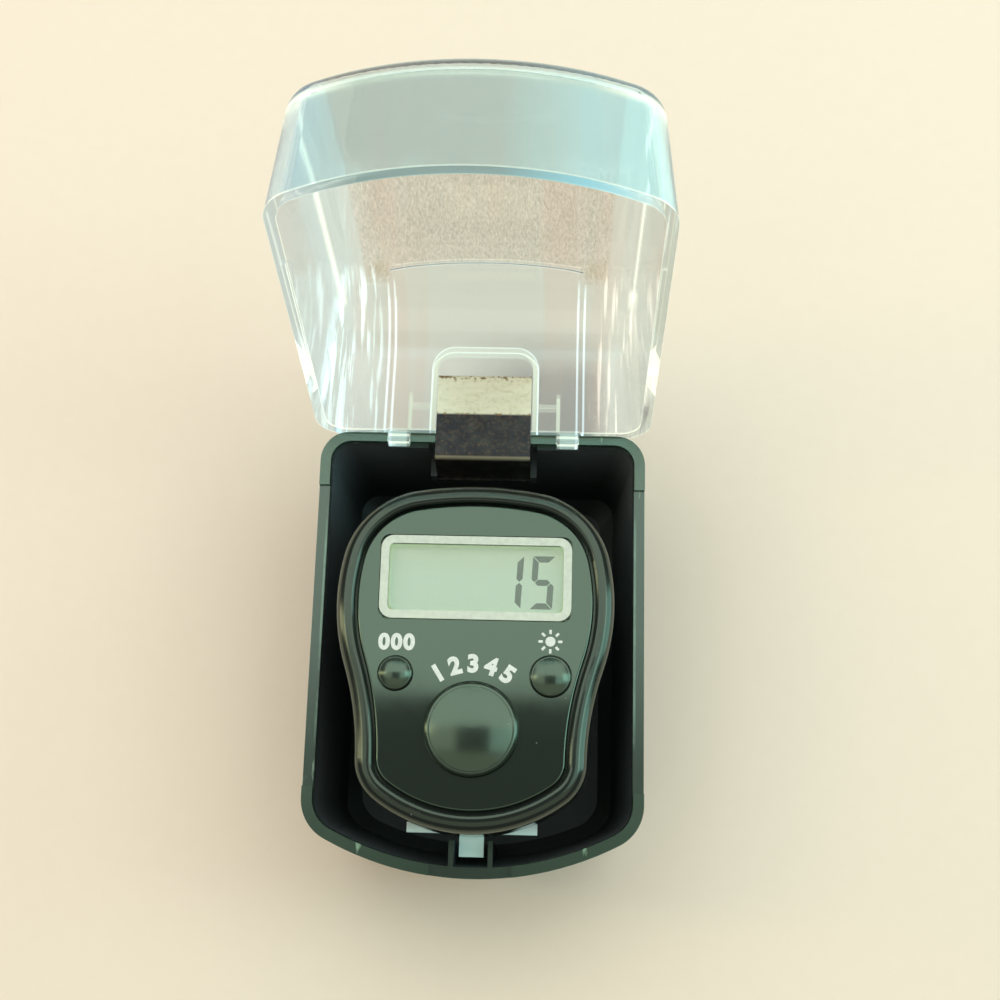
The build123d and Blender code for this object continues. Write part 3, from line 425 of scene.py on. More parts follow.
def lid_regions(f):
    """Masks of the lid's regions, from the place on the closed lid."""
    turn = Euler((radians(LID_TURN), 0, 0)).to_matrix()
    hinge = Vector((0, *HINGE))
    closed = f.mapped((1000, 1000, 1000), (LID_TURN, 0, 0), hinge - turn @ hinge)
    x, y, z = (f.axis(i, closed) for i in range(3))
    side, up = f.math("ABSOLUTE", x, 0), f.math("SUBTRACT", z, LID_RIM)
    bow = f.length(f.mapped((1, 1, 0), shift=(0, -LID_BOW[0], 0), source=closed))
    front = f.ramp(bow, LID_BOW[1] - 2.9, LID_BOW[1] - 2.5)
    bend = f.math("MULTIPLY", f.math("POWER", f.math("DIVIDE", side, LONG_RIB[0]), 2), PATCH_BOW)
    past_bend = f.math("SUBTRACT", y, bend)
    before_patch = f.ramp(past_bend, PATCH_EDGE + 0.15, PATCH_EDGE - 0.15)
    beside_ribs = f.ramp(side, LONG_RIB[0], LONG_RIB[0] + 0.4)
    foot = f.both(beside_ribs, f.ramp(y, PANEL_FOOT + 0.3, PANEL_FOOT - 0.3))
    panel = f.both(f.either(before_patch, foot), f.ramp(side, PANEL_HALF + 0.2, PANEL_HALF - 0.2),
                   f.math("SUBTRACT", 1.0, front))
    below_top = f.math("SUBTRACT", f.math("ADD", f.math("MULTIPLY", y, LID_TOP[1]), LID_TOP[0]), z)
    half, height, corner, width = ARCH
    qx = f.math("SUBTRACT", side, half - corner)
    qz = f.math("SUBTRACT", up, height - corner)
    reach = f.node("CombineXYZ", {0: f.math("MAXIMUM", qx, 0.0), 1: f.math("MAXIMUM", qz, 0.0)}).outputs[0]
    depth = f.math("MINIMUM", f.either(qx, qz), 0.0)
    to_arch = f.math("SUBTRACT", f.math("ADD", f.length(reach), depth), corner)
    by_hinge = f.ramp(y, PATCH_EDGE, PATCH_EDGE + 2)
    arch = f.within(to_arch, -width / 2, width / 2, 0.05)
    stay = f.both(f.within(side, *STAY[:2], 0.05), f.ramp(up, STAY[2] + 0.1, STAY[2]))
    bar = f.both(f.within(up, *CROSSBAR, 0.05),
                 f.within(side, (half + STAY[0]) / 2, (STAY[0] - half) / 2, 0.05))
    off_rib = f.math("ABSOLUTE", f.math("SUBTRACT", side, LONG_RIB[0]), 0)
    long_rib = f.both(f.within(off_rib, LONG_RIB[1] - 0.12, 0.13, 0.05),
                      f.ramp(up, LONG_RIB[2], LONG_RIB[2] - 0.5))
    return {
        "closed": closed, "x": x, "up": up, "side": side, "front": front, "panel": panel,
        "to_right": f.ramp(x, -16, 14),
        "brushed": f.both(panel, f.ramp(y, *BRUSHED_FROM)),
        "rim": f.ramp(up, 0.3, 0.1),
        "edge": f.both(f.within(below_top, LID_EDGE, 0.4, 0.3), f.either(front, f.ramp(side, 18.5, 19.0))),
        "crest": f.both(front, f.ramp(below_top, 1.6, 0.8)),
        "patch_end": f.both(f.within(past_bend, PATCH_EDGE, 0.13, 0.06),
                            f.ramp(side, LONG_RIB[0], LONG_RIB[0] - 0.4)),
        "brown_patch": f.both(f.within(side, 14.0, 1.2, 1.0), f.within(y, 17.4, 1.2, 1.4)),
        "rib": f.both(f.either(arch, stay, bar), by_hinge),
        "rib_line": f.both(f.either(long_rib, f.within(to_arch, -0.1, 0.09, 0.04)), by_hinge),
        "corner": f.both(f.ramp(side, 13.6, 14.6), f.ramp(y, PANEL_FOOT - 3, PANEL_FOOT)),
    }


# Colours of the lid's regions, with painted highlights and reflections, and the painted glow at its edges
LID_BRUSHED = ((0.70, 0.71, 0.69), (0.90, 0.90, 0.89))
LID_BACK = ((0.84, 0.93, 0.97), (0.52, 0.56, 0.60))
LID_WALL = ((0.85, 0.97, 1.0), (0.88, 0.95, 0.98))
# painted reflection: the front band's teal tint, bluer towards the right
LID_BAND_REFLECTION = ((0.76, 0.93, 0.98), (0.77, 1.0, 1.0))
LID_STRESS, LID_BROWN_PATCH = (0.95, 0.72, 0.66), (0.62, 0.57, 0.44)
# painted highlight colour for ribs, rim and edges, then the pale colour of scratches
LID_EDGE_HIGHLIGHT, LID_SCRATCH = (0.86, 0.97, 0.93), (0.97, 0.98, 0.96)
# painted glow, given off by the plastic though it is no lamp
GLOW_LEFT_WALL, GLOW_SCRATCH, GLOW_CREST = (0.0, 0.012, 0.03), (0.13, 0.13, 0.12), (0.11, 0.15, 0.14)
GLOW_BAND, GLOW_RIB, GLOW_PATCH = (0.015, 0.07, 0.095), (0.05, 0.07, 0.06), (0.19, 0.22, 0.205)
GLOW_EDGE = ((0.04, 0.09, 0.085), (0.42, 0.43, 0.34))  # in the middle and at the sides
GLOW_RIM = ((0.15, 0.21, 0.19), (0.42, 0.43, 0.34))
GLOW_STREAK = ((0.30, 0.42, 0.44), (0.22, 0.2, 0.17))
GLOW_LINE = (0.22, 0.29, 0.31)


def lid_tone(f, on, grain, marks):
    """Colour of the plastic in each region."""
    low = f.both(f.ramp(on["up"], 15, 8), f.ramp(on["x"], -4, 5))
    shade = f.both(f.ramp(grain, 0.42, 0.58, -0.5, 0.5), on["brushed"])
    brushed = f.blend(f.math("ADD", shade, 0.5), *LID_BRUSHED)
    wall = f.blend(on["to_right"], *LID_WALL)
    sides = f.blend(f.ramp(on["side"], 14.5, 16.5), f.blend(low, *LID_BACK), wall)
    drawn = f.mapped((1, 0.07, 0.07), (0, 0, 5), source=on["closed"])
    stress = f.ramp(f.noise(0.22, 2.0, drawn), 0.5, 0.66, 0.0, 0.22)
    inside = f.blend(stress, f.blend(on["panel"], sides, brushed), LID_STRESS)
    # browner patches by the panel's lower corners, blended in at half strength
    inside = f.blend(f.math("MULTIPLY", on["brown_patch"], 0.5), inside, LID_BROWN_PATCH)
    # painted reflection in the front band's tint
    tone = f.blend(on["front"], inside, f.blend(f.ramp(on["x"], 0, 13), *LID_BAND_REFLECTION))
    # painted highlight: ribs, rim and edges coloured pale
    tone = f.blend(f.either(on["rib"], on["rim"], on["edge"]), tone, LID_EDGE_HIGHLIGHT)
    return f.blend(f.math("MULTIPLY", marks, 0.7), tone, LID_SCRATCH)


def lid_glow(f, on, marks):
    """Painted glow: emission that stands in for light at the plastic's edges, ribs and scratches, and for
    reflections on its band and corners.
    """
    # painted reflection: streaks of glow in the lid's back corners
    reflection_streaks = f.ramp(f.noise(1.6, 3.0, f.mapped((1, 0.05, 0.05), source=on["closed"])), 0.54, 0.62)
    walls = f.blend(on["to_right"], GLOW_LEFT_WALL, NO_GLOW)
    to_side = f.ramp(on["side"], 12, 19)
    glow = f.blend(f.ramp(on["side"], 14.5, 18), NO_GLOW, walls)
    for mask, light in (
        (marks, GLOW_SCRATCH), (on["crest"], GLOW_CREST),
        (f.both(on["front"], f.ramp(on["x"], 3, 12)), GLOW_BAND),
        (on["edge"], f.blend(to_side, *GLOW_EDGE)), (on["rim"], f.blend(to_side, *GLOW_RIM)),
        (on["rib"], GLOW_RIB),
        (f.both(on["corner"], reflection_streaks), f.blend(on["to_right"], *GLOW_STREAK)),
        (on["patch_end"], GLOW_PATCH), (on["rib_line"], GLOW_LINE),
    ):
        glow = f.blend(mask, glow, light)
    return glow


def lid_finish():
    """Clear plastic lid: brushed panel, pale walls, ribs with painted highlights, edges with painted glow."""
    f = Finish("lid_clear", (0.8, 0.85, 0.82), 0.03, Transmission_Weight=0.92, IOR=1.49,
               Emission_Strength=1.0)
    on = lid_regions(f)
    grain = f.noise(5.6, 3.0, f.mapped((1, 0.16, 1), (0, 0, 14), source=on["closed"]))
    scratches = []
    for turn, scale in ((40, 0.5), (-25, 0.8)):
        along = f.mapped((1, 0.3, 1), (0, 0, turn), source=on["closed"])
        scratches.append(f.use(SCRATCHES, along, Scale=scale, Width=0.016))
    marks = f.both(f.either(*scratches), f.either(on["brushed"], on["corner"]))
    f.feed("Base Color", lid_tone(f, on, grain, marks))
    f.feed("Emission Color", lid_glow(f, on, marks))
    frosted = f.math("MULTIPLY", on["brushed"], f.ramp(grain, 0.3, 0.7, 0.0, 0.03))
    f.feed("Roughness", f.math("ADD", frosted, 0.01))
    f.bump(f.math("ADD", f.both(grain, on["brushed"]), marks), 0.05, 0.00008)
    f.let_lamps_through(0.25)
    return f.material


SEAT_TAB = (-21.5, -22.5)  # y over which the front tab and its painted glow begin, in millimetres


def seat_finish():
    """Clear strip, slightly frosted; its front tab has a painted glow."""
    f = Finish("seat_clear", (0.8, 0.97, 0.92), 0.2, Transmission_Weight=0.4, IOR=1.5, Emission_Strength=1.0)
    cloud = f.noise(300.0, 4.0)
    f.feed("Base Color", f.blend(f.ramp(cloud, 0.35, 0.65), (0.74, 0.92, 0.87), (0.9, 1.0, 0.96)))
    on_tab = f.ramp(f.axis(1), *(y * MM for y in SEAT_TAB))
    # painted glow on the front tab
    f.feed("Emission Color", f.blend(on_tab, NO_GLOW, (0.06, 0.105, 0.095)))
    f.feed("Roughness", f.ramp(cloud, 0.3, 0.7, 0.12, 0.3))
    f.bump(cloud, 0.2, 0.0001)
    f.let_lamps_through(0.3)
    return f.material


REST_PLACE = "rest_place"  # attribute with each point's place at rest


def spring_finish():
    """Plated spring strip: fine pits, rust along its upper edge, blackened below the fold, with a painted
    highlight along its lower bend.
    """
    f = Finish("spring_plated", (0.80, 0.77, 0.64), 0.4, Metallic=1.0)
    f.coords = f.node("Attribute", attribute_name=REST_PLACE).outputs["Vector"]
    y = f.axis(1)
    top, fold = SPRING_LINE[0][0] * MM, SPRING_LINE[1][0] * MM
    brushed = f.noise(1400.0, 3.0, f.mapped((0.25, 1, 1)))
    pits = f.use(SPECKS, Scale=1700.0, Size=0.3, Share=0.14)
    upper = f.ramp(y, top - 0.9 * MM, top - 0.1 * MM)
    at_fold = f.within(y, fold, 0.12 * MM, 0.12 * MM)
    spread = f.math("ADD", f.either(upper, at_fold), 0.12)
    blooms = f.both(f.ramp(f.noise(1900.0, 5.0), 0.52, 0.62), spread)
    rust = f.math("MINIMUM", f.math("ADD", f.math("MULTIPLY", pits, 0.7), blooms), 1.0)
    dark = f.ramp(y, fold + 0.1 * MM, fold - 0.15 * MM)
    mottle = f.ramp(f.noise(500.0, 5.0), 0.45, 0.7)
    plate = f.blend(f.ramp(brushed, 0.35, 0.65), (0.62, 0.61, 0.43), (0.69, 0.67, 0.50))
    black = f.blend(mottle, (0.009, 0.010, 0.011), (0.034, 0.035, 0.028))
    # painted highlight: a paler line along the bend down into the tray
    bend_highlight = f.both(f.within(y, (SPRING_LINE[2][0] + 0.1) * MM, 0.2 * MM, 0.1 * MM),
                 f.ramp(f.axis(2), 23.2 * MM, 23.6 * MM))
    metal = f.blend(bend_highlight, f.blend(dark, plate, black), (0.30, 0.28, 0.19))
    f.feed("Base Color", f.blend(rust, metal, (0.30, 0.17, 0.06)))
    f.feed("Metallic", f.math("SUBTRACT", 1.0, f.math("MULTIPLY", f.either(rust, dark), 0.75)))
    f.feed("Roughness", f.math("ADD", f.ramp(brushed, 0.3, 0.7, 0.34, 0.42), f.math("MULTIPLY", rust, 0.3)))
    f.bump(f.math("SUBTRACT", brushed, rust), 0.06, 0.00004)
    return f.material


def window_finish():
    """Clear window, faintly smeared."""
    f = Finish("window_clear", (0.97, 0.98, 0.96), 0.02, Transmission_Weight=1.0, IOR=1.48,
               Specular_Tint=GREEN_GLOSS)
    smear = f.noise(120.0, 3.0, f.mapped((0.4, 1, 1), (0, 0, 15)))
    f.feed("Roughness", f.ramp(smear, 0.3, 0.8, 0.01, 0.03))
    return f.material


def lcd_finish():
    """Pale green-grey display, with painted shade along its upper edge that turns it a little yellower and
    darker.
    """
    f = Finish("lcd_grey_green", (0.73, 0.92, 0.74), 0.3)
    y = f.axis(1)
    # painted shade along the upper edge, by the border
    upper = f.ramp(y, (COUNTER_Y + 9.5) * MM, (COUNTER_Y + 14) * MM)
    grain = f.noise(2600.0, 2.0)
    ground = f.blend(upper, (0.73, 0.92, 0.74), (0.76, 0.88, 0.65))
    f.feed("Base Color", f.blend(f.ramp(grain, 0.3, 0.7, 0.0, 0.08), ground, (0.80, 0.96, 0.79)))
    f.bump(grain, 0.05, 0.00002)
    return f.material


def print_finish(name, color):
    """Printed ink, with a slightly uneven edge of tone."""
    f = Finish(name, color, 0.35)
    wear = f.ramp(f.noise(1500.0, 4.0), 0.35, 0.7)
    f.feed("Base Color", f.blend(wear, tuple(c * 0.86 for c in color), color))
    f.bump(wear, 0.1, 0.00002)
    return f.material


def digit_finish():
    """Dark grey of a driven display stroke."""
    f = Finish("digit_grey", (0.13, 0.16, 0.13), 0.35)
    f.feed("Base Color", f.blend(f.noise(1200.0, 2.0), (0.11, 0.14, 0.115), (0.15, 0.18, 0.15)))
    return f.material


def rubber_finish(name, color, grain):
    """Soft rubber with a fine matt skin."""
    f = Finish(name, color, 0.62)
    skin = f.noise(grain, 4.0)
    low, high = (tuple(c * share for c in color) for share in (0.8, 1.25))
    f.feed("Base Color", f.blend(f.ramp(skin, 0.35, 0.65), low, high))
    f.feed("Roughness", f.ramp(skin, 0.3, 0.7, 0.55, 0.72))
    f.bump(skin, 0.25, 0.00006)
    return f.material


def metal_finish(name, color, roughness, turn=0):
    """Plated sheet or turned metal with fine lines."""
    f = Finish(name, color, roughness, Metallic=1.0)
    lines = f.noise(1100.0, 3.0, f.mapped((0.1, 1, 1), (0, 0, turn)))
    low, high = (tuple(min(1, c * share) for c in color) for share in (0.82, 1.1))
    f.feed("Base Color", f.blend(lines, low, high))
    f.feed("Roughness", f.ramp(lines, 0.3, 0.7, roughness * 0.8, roughness * 1.25))
    f.bump(lines, 0.1, 0.00004)
    return f.material


def board_finish():
    """Green laminate with paler copper runs under the lacquer."""
    f = Finish("board_green", (0.03, 0.16, 0.07), 0.35)
    runs = f.node("TexBrick", {"Vector": f.mapped((1, 1, 1), (0, 0, 45))}, Scale=160.0, Mortar_Size=0.05)
    f.feed("Base Color", f.blend(runs.outputs["Fac"], (0.025, 0.14, 0.06), (0.10, 0.30, 0.12)))
    f.bump(runs.outputs["Fac"], 0.2, 0.00004)
    return f.material


def strip_finish():
    """Elastic contact strip: thin dark and pale layers in turn."""
    f = Finish("strip_layers", (0.4, 0.4, 0.38), 0.6)
    layers = f.node("TexWave", {"Vector": f.coords}, Scale=600.0)
    pale = f.ramp(layers.outputs["Fac"], 0.4, 0.6)
    f.feed("Base Color", f.blend(pale, (0.04, 0.04, 0.04), (0.62, 0.6, 0.56)))
    return f.material


def clouded_finish(name, low, high, roughness, grain):
    """Cast or milky stuff that drifts between two tones."""
    f = Finish(name, low, roughness)
    f.feed("Base Color", f.blend(f.ramp(f.noise(grain, 3.0), 0.35, 0.65), low, high))
    f.feed("Roughness", f.ramp(f.noise(grain * 2, 3.0), 0.3, 0.7, roughness * 0.8, roughness * 1.2))
    return f.material


def wear(node, material):
    """Gives a solid of the frame its one material."""
    slots = NODES[node].data.materials
    slots.clear()
    slots.append(material)


SHELL = black_plastic("shell_black", (0.009, 0.011, 0.010), 0.15, 0.1, 0.05, SHELL_GLOSS, 1.51).material
FACE = face_finish()
BUTTON = black_plastic("button_black", (0.014, 0.019, 0.014), 0.2, 0.08, 0.04).material
RUBBER = rubber_finish("ring_rubber", (0.022, 0.023, 0.022), 900.0)
SILICONE = rubber_finish("skirt_silicone", (0.45, 0.45, 0.43), 700.0)
CARBON = rubber_finish("pill_carbon", (0.03, 0.03, 0.03), 1500.0)
NICKEL = metal_finish("contact_nickel", (0.72, 0.70, 0.65), 0.25)
STEEL_CAN = metal_finish("cell_can", (0.74, 0.74, 0.72), 0.22, 40)
ZINC = metal_finish("screw_zinc", (0.62, 0.62, 0.60), 0.3, 70)
MARK_WHITE = print_finish("mark_white", (0.78, 0.85, 0.77))
BORDER_CREAM = print_finish("border_cream", (0.67, 0.75, 0.62))
SPRING = spring_finish()
DIGIT = digit_finish()
for node, material in {
    "case_base": case_finish(), "case_lid": lid_finish(), "seat_strip": seat_finish(),
    "bezel_ring": SHELL, "rear_shell": SHELL, "battery_door": SHELL, "face_plate": FACE,
    "display_window": window_finish(), "lcd_glass": lcd_finish(),
    "light_guide": clouded_finish("guide_milky", (0.80, 0.83, 0.80), (0.9, 0.92, 0.9), 0.3, 300.0),
    "backlight_lamp": clouded_finish("lamp_yellow", (0.82, 0.72, 0.30), (0.92, 0.86, 0.5), 0.25, 900.0),
    "contact_strip": strip_finish(), "circuit_board": board_finish(),
    "chip_cover": clouded_finish("resin_black", (0.015, 0.015, 0.016), (0.04, 0.04, 0.04), 0.3, 700.0),
    "board_chips": clouded_finish("chip_brown", (0.22, 0.15, 0.09), (0.42, 0.32, 0.2), 0.4, 400.0),
    "cell_left": STEEL_CAN, "cell_right": STEEL_CAN,
    "cell_contact_left": NICKEL, "cell_contact_right": NICKEL, "cell_bridge": NICKEL,
    "door_screw": ZINC, "housing_screws": ZINC,
    "count_button": BUTTON, "reset_button": BUTTON, "led_button": BUTTON,
    "count_contact": CARBON, "reset_contact": CARBON, "led_contact": CARBON,
}.items():
    wear(node, material)


def dress(piece, material, body):
    """Gives a modelled piece its material and, where one is named, its body."""
    piece.data.materials.clear()
    piece.data.materials.append(material)
    if body:
        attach(piece, body)
    return piece


# Spring strip, as one bent leaf from the lid's back to the tray
def make_spring():
    clear_selection()
    y0, z0 = SPRING_LINE[0]
    y1, z1 = SPRING_LINE[1]
    middle = (0, (y0 + y1) / 2 * MM, (z0 + z1) / 2 * MM)
    bpy.ops.mesh.primitive_plane_add(size=1, location=middle, rotation=(atan2(z0 - z1, y0 - y1), 0, 0))
    run = ((y1 - y0) ** 2 + (z1 - z0) ** 2) ** 0.5
    bpy.context.object.scale = (SPRING_W * MM, run * MM, 1)
    leaf = started("spring_leaf")
    for (ya, za), (yb, zb) in zip(SPRING_LINE[1:], SPRING_LINE[2:]):
        pick(leaf, "EDGE", lambda c: abs(c.y - ya * MM) < 1e-6 and abs(c.z - za * MM) < 1e-6)
        extrude_by(0, yb - ya, zb - za)
        bpy.ops.object.mode_set(mode="OBJECT")
    for i, radius in FOLDS:
        y, z = SPRING_LINE[i]
        pick(leaf, "EDGE", lambda c: abs(c.y - y * MM) < 1e-6 and abs(c.z - z * MM) < 1e-6)
        bpy.ops.mesh.bevel(offset=radius * MM, segments=5, affect="EDGES")
        bpy.ops.object.mode_set(mode="OBJECT")
    edit(leaf, "EDGE")
    bpy.ops.object.mode_set(mode="OBJECT")
    for e in leaf.data.edges:
        a, b = (leaf.data.vertices[i].co for i in e.vertices)
        e.select = (a - b).length > SPRING_SPAN * MM and abs(a.x - b.x) < 1e-7
    bpy.ops.object.mode_set(mode="EDIT")
    bpy.ops.mesh.subdivide(number_cuts=SPRING_CUTS)
    bpy.ops.object.mode_set(mode="OBJECT")
    outward(leaf)
    finish_with(
        leaf,
        ("SOLIDIFY", {"thickness": SPRING_T * MM, "offset": 0.0}),
        ("BEVEL", {"width": SPRING_EDGE * MM, "segments": 2, "angle_limit": radians(50)}),
    )
    outward(leaf)
    smooth(leaf)
    places = leaf.data.attributes.new(REST_PLACE, "FLOAT_VECTOR", "POINT")
    for vertex, spot in zip(leaf.data.vertices, places.data):
        spot.vector = vertex.co
    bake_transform(leaf)
    dress(leaf, SPRING, None)
    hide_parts("hinge_spring")


# Printed border of the display window
def make_border():
    clear_selection()
    at = (0, (COUNTER_Y + WINDOW_Y) * MM, FACE_Z * MM)
    bpy.ops.mesh.primitive_plane_add(size=1, location=at)
    bpy.context.object.scale = (WINDOW_SIZE[0] * MM, WINDOW_SIZE[1] * MM, 1)
    border = started("window_border")
    edit(border)
    bpy.ops.mesh.select_all(action="SELECT")
    bpy.ops.mesh.bevel(offset=BORDER_R * MM, segments=10, affect="VERTICES")
    bpy.ops.mesh.select_all(action="SELECT")
    bpy.ops.mesh.inset(thickness=BORDER_W * MM)
    bpy.ops.object.mode_set(mode="OBJECT")
    pick(border, "FACE", lambda c: (c - Vector(at)).length < 0.1 * MM)
    bpy.ops.mesh.delete(type="FACE")
    bpy.ops.object.mode_set(mode="OBJECT")
    finish_with(
        border,
        ("SOLIDIFY", {"thickness": BORDER_T * MM, "offset": 1.0}),
        ("BEVEL", {"width": BORDER_T / 3 * MM, "segments": 1, "angle_limit": radians(60)}),
    )
    dress(border, BORDER_CREAM, "counter")


# Digits of the display
DIGIT_TOP, DIGIT_LOW = 12.46, 5.88         # from the counter's middle
DIGIT_T = 0.74
DIGIT_GAP = 0.07
DIGIT_LEAN = 0.055
DIGIT_W = 2.75
DIGIT_H = 0.03
DIGIT_X = (2.70, 6.55)    # lower left corners


def segment_outlines(x, lit):
    """Outlines of the lit strokes of one seven-stroke digit whose lower left corner is at x."""
    w, h, t, g = DIGIT_W, DIGIT_TOP - DIGIT_LOW, DIGIT_T, DIGIT_GAP
    half, m = h / 2, t / 2
    strokes = {
        "top": [(g, h), (w - g, h), (w - t - g, h - t), (t + g, h - t)],
        "low": [(g, 0), (w - g, 0), (w - t - g, t), (t + g, t)],
        "mid": [(m + g, half), (t + g, half + m), (w - t - g, half + m),
                (w - m - g, half), (w - t - g, half - m), (t + g, half - m)],
        "top_left": [(0, h - g), (t, h - t - g), (t, half + m + g), (m, half + g), (0, half + m + g)],
        "top_right": [(w, h - g), (w - t, h - t - g), (w - t, half + m + g),
                      (w - m, half + g), (w, half + m + g)],
        "low_left": [(0, g), (t, t + g), (t, half - m - g), (m, half - g), (0, half - m - g)],
        "low_right": [(w, g), (w - t, t + g), (w - t, half - m - g), (w - m, half - g), (w, half - m - g)],
    }
    return [[(x + px + DIGIT_LEAN * py, DIGIT_LOW + py) for px, py in strokes[name]] for name in lit]


def make_digits():
    one, five = DIGIT_X
    outlines = segment_outlines(one, ("top_right", "low_right"))
    outlines += segment_outlines(five, ("top", "top_left", "mid", "low_right", "low"))
    strokes = []
    for outline in outlines:
        clear_selection()
        bpy.ops.mesh.primitive_circle_add(vertices=len(outline), radius=MM, fill_type="NGON")
        stroke = started("stroke")
        for v, (x, y) in zip(stroke.data.vertices, outline):
            v.co = (x * MM, (COUNTER_Y + y) * MM, LCD_Z * MM)
        pick(stroke, "FACE", lambda c: True)
        extrude_by(0, 0, DIGIT_H)
        outward(stroke)
        strokes.append(stroke)
    join(strokes, "display_digits")
    dress(bpy.context.object, DIGIT, "counter")


# Plain numbers and a lamp sign beside the buttons
MARK_H = 0.05
MARK_BOLD, MARK_SPACING = 0.05, 1.16
RESET_MARK = ("000", 2.6, -9.3, 1.25)      # text, size, x and y
LAMP_SIGN = (9.2, 1.75, 0.6)               # x, y and radius of its disc
LAMP_RAYS = (8, 1.17, 0.3, 0.52)           # count, distance, width and length
COUNT_MARKS = ("12345", 2.85, 7.7, 16.3)   # text, size, radius and degrees from one to the next


def numbers(text, size, x, y, turn=0.0):
    """Bold numbers on the face plate, centred on a place."""
    clear_selection()
    bpy.ops.object.text_add()
    figures = bpy.context.object.data
    figures.body = text
    figures.size = size * MM
    figures.align_x, figures.align_y = "CENTER", "CENTER"
    figures.offset = MARK_BOLD * size * MM
    figures.space_character = MARK_SPACING
    figures.extrude = MARK_H / 2 * MM
    figures.resolution_u = 6
    bpy.ops.object.convert(target="MESH")
    mark = bpy.context.object
    mark.rotation_euler = (0, 0, radians(turn))
    mark.location = (x * MM, (COUNTER_Y + y) * MM, (FACE_Z + MARK_H / 2) * MM)
    return started("numbers")


def lamp_sign():
    """A small disc with rays around it."""
    x, y, radius = LAMP_SIGN
    count, reach, width, length = LAMP_RAYS
    y += COUNTER_Y
    clear_selection()
    bpy.ops.mesh.primitive_circle_add(
        vertices=32, radius=radius * MM, fill_type="NGON", location=(x * MM, y * MM, FACE_Z * MM))
    shapes = [started("disc")]
    for i in range(count):
        turn = 2 * pi * i / count
        clear_selection()
        bpy.ops.mesh.primitive_plane_add(
            size=1, rotation=(0, 0, turn),
            location=((x + reach * cos(turn)) * MM, (y + reach * sin(turn)) * MM, FACE_Z * MM))
        bpy.context.object.scale = (length * MM, width * MM, 1)
        shapes.append(started("ray"))
    for shape in shapes:
        pick(shape, "FACE", lambda c: True)
        extrude_by(0, 0, MARK_H)
        outward(shape)
    return shapes


def make_marks():
    zeros = numbers(*RESET_MARK)
    zeros.name = zeros.data.name = "reset_mark"
    rays = lamp_sign()
    join(rays, "lamp_mark")
    text, size, radius, step = COUNT_MARKS
    _, button_y, _ = BUTTONS["count"]
    arc = []
    for i, number in enumerate(text):
        turn = ((len(text) - 1) / 2 - i) * step
        x, y = -radius * sin(radians(turn)), button_y + radius * cos(radians(turn))
        arc.append(numbers(number, size, x, y, turn))
    join(arc, "count_marks")
    for marks in (zeros, rays[0], arc[0]):
        dress(marks, MARK_WHITE, "counter")


# Rubber skirts under the buttons
SKIRT_WALL, SKIRT_EDGE = 0.5, 0.08
SKIRT_LEAN = 0.9
PILL_R = {"count": 1.6, "reset": 0.8, "led": 0.8}
PILL_PLAY = 0.1


def make_skirt(name):
    x, y, foot = BUTTONS[name]
    y += COUNTER_Y
    height = FLANGE_Z - BOARD_Z
    head, hole = foot - SKIRT_LEAN, PILL_R[name] + PILL_PLAY
    clear_selection()
    bpy.ops.mesh.primitive_cylinder_add(
        vertices=64, radius=foot * MM, depth=height * MM, end_fill_type="NOTHING",
        location=(x * MM, y * MM, (BOARD_Z + FLANGE_Z) / 2 * MM))
    skirt = started(name + "_skirt")
    middle = (x * MM, y * MM, FLANGE_Z * MM)
    pick(skirt, "VERT", lambda c: c.z > (FLANGE_Z - 0.1) * MM)
    bpy.ops.transform.resize(value=(head / foot, head / foot, 1), center_override=middle)
    bpy.ops.mesh.extrude_edges_move()
    bpy.ops.transform.resize(value=(hole / head, hole / head, 1), center_override=middle)
    bpy.ops.object.mode_set(mode="OBJECT")
    outward(skirt)
    finish_with(
        skirt,
        ("SOLIDIFY", {"thickness": SKIRT_WALL * MM, "offset": -1.0}),
        ("BEVEL", {"width": SKIRT_EDGE * MM, "segments": 2, "angle_limit": radians(40)}),
    )
    smooth(skirt)
    dress(skirt, SILICONE, "counter")
    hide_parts(name + "_pad")
    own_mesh(skirt)


# Finger ring, a soft band hooked into the back
RING_BAND, RING_T, RING_BORE, RING_DEPTH = 8.0, 1.6, 18.6, 17.0
RING_HOOK_Z = BACK_Z + 1.2
RING_HOOK, RING_HOOK_T = 1.4, 0.6
RING_EDGE = 0.22


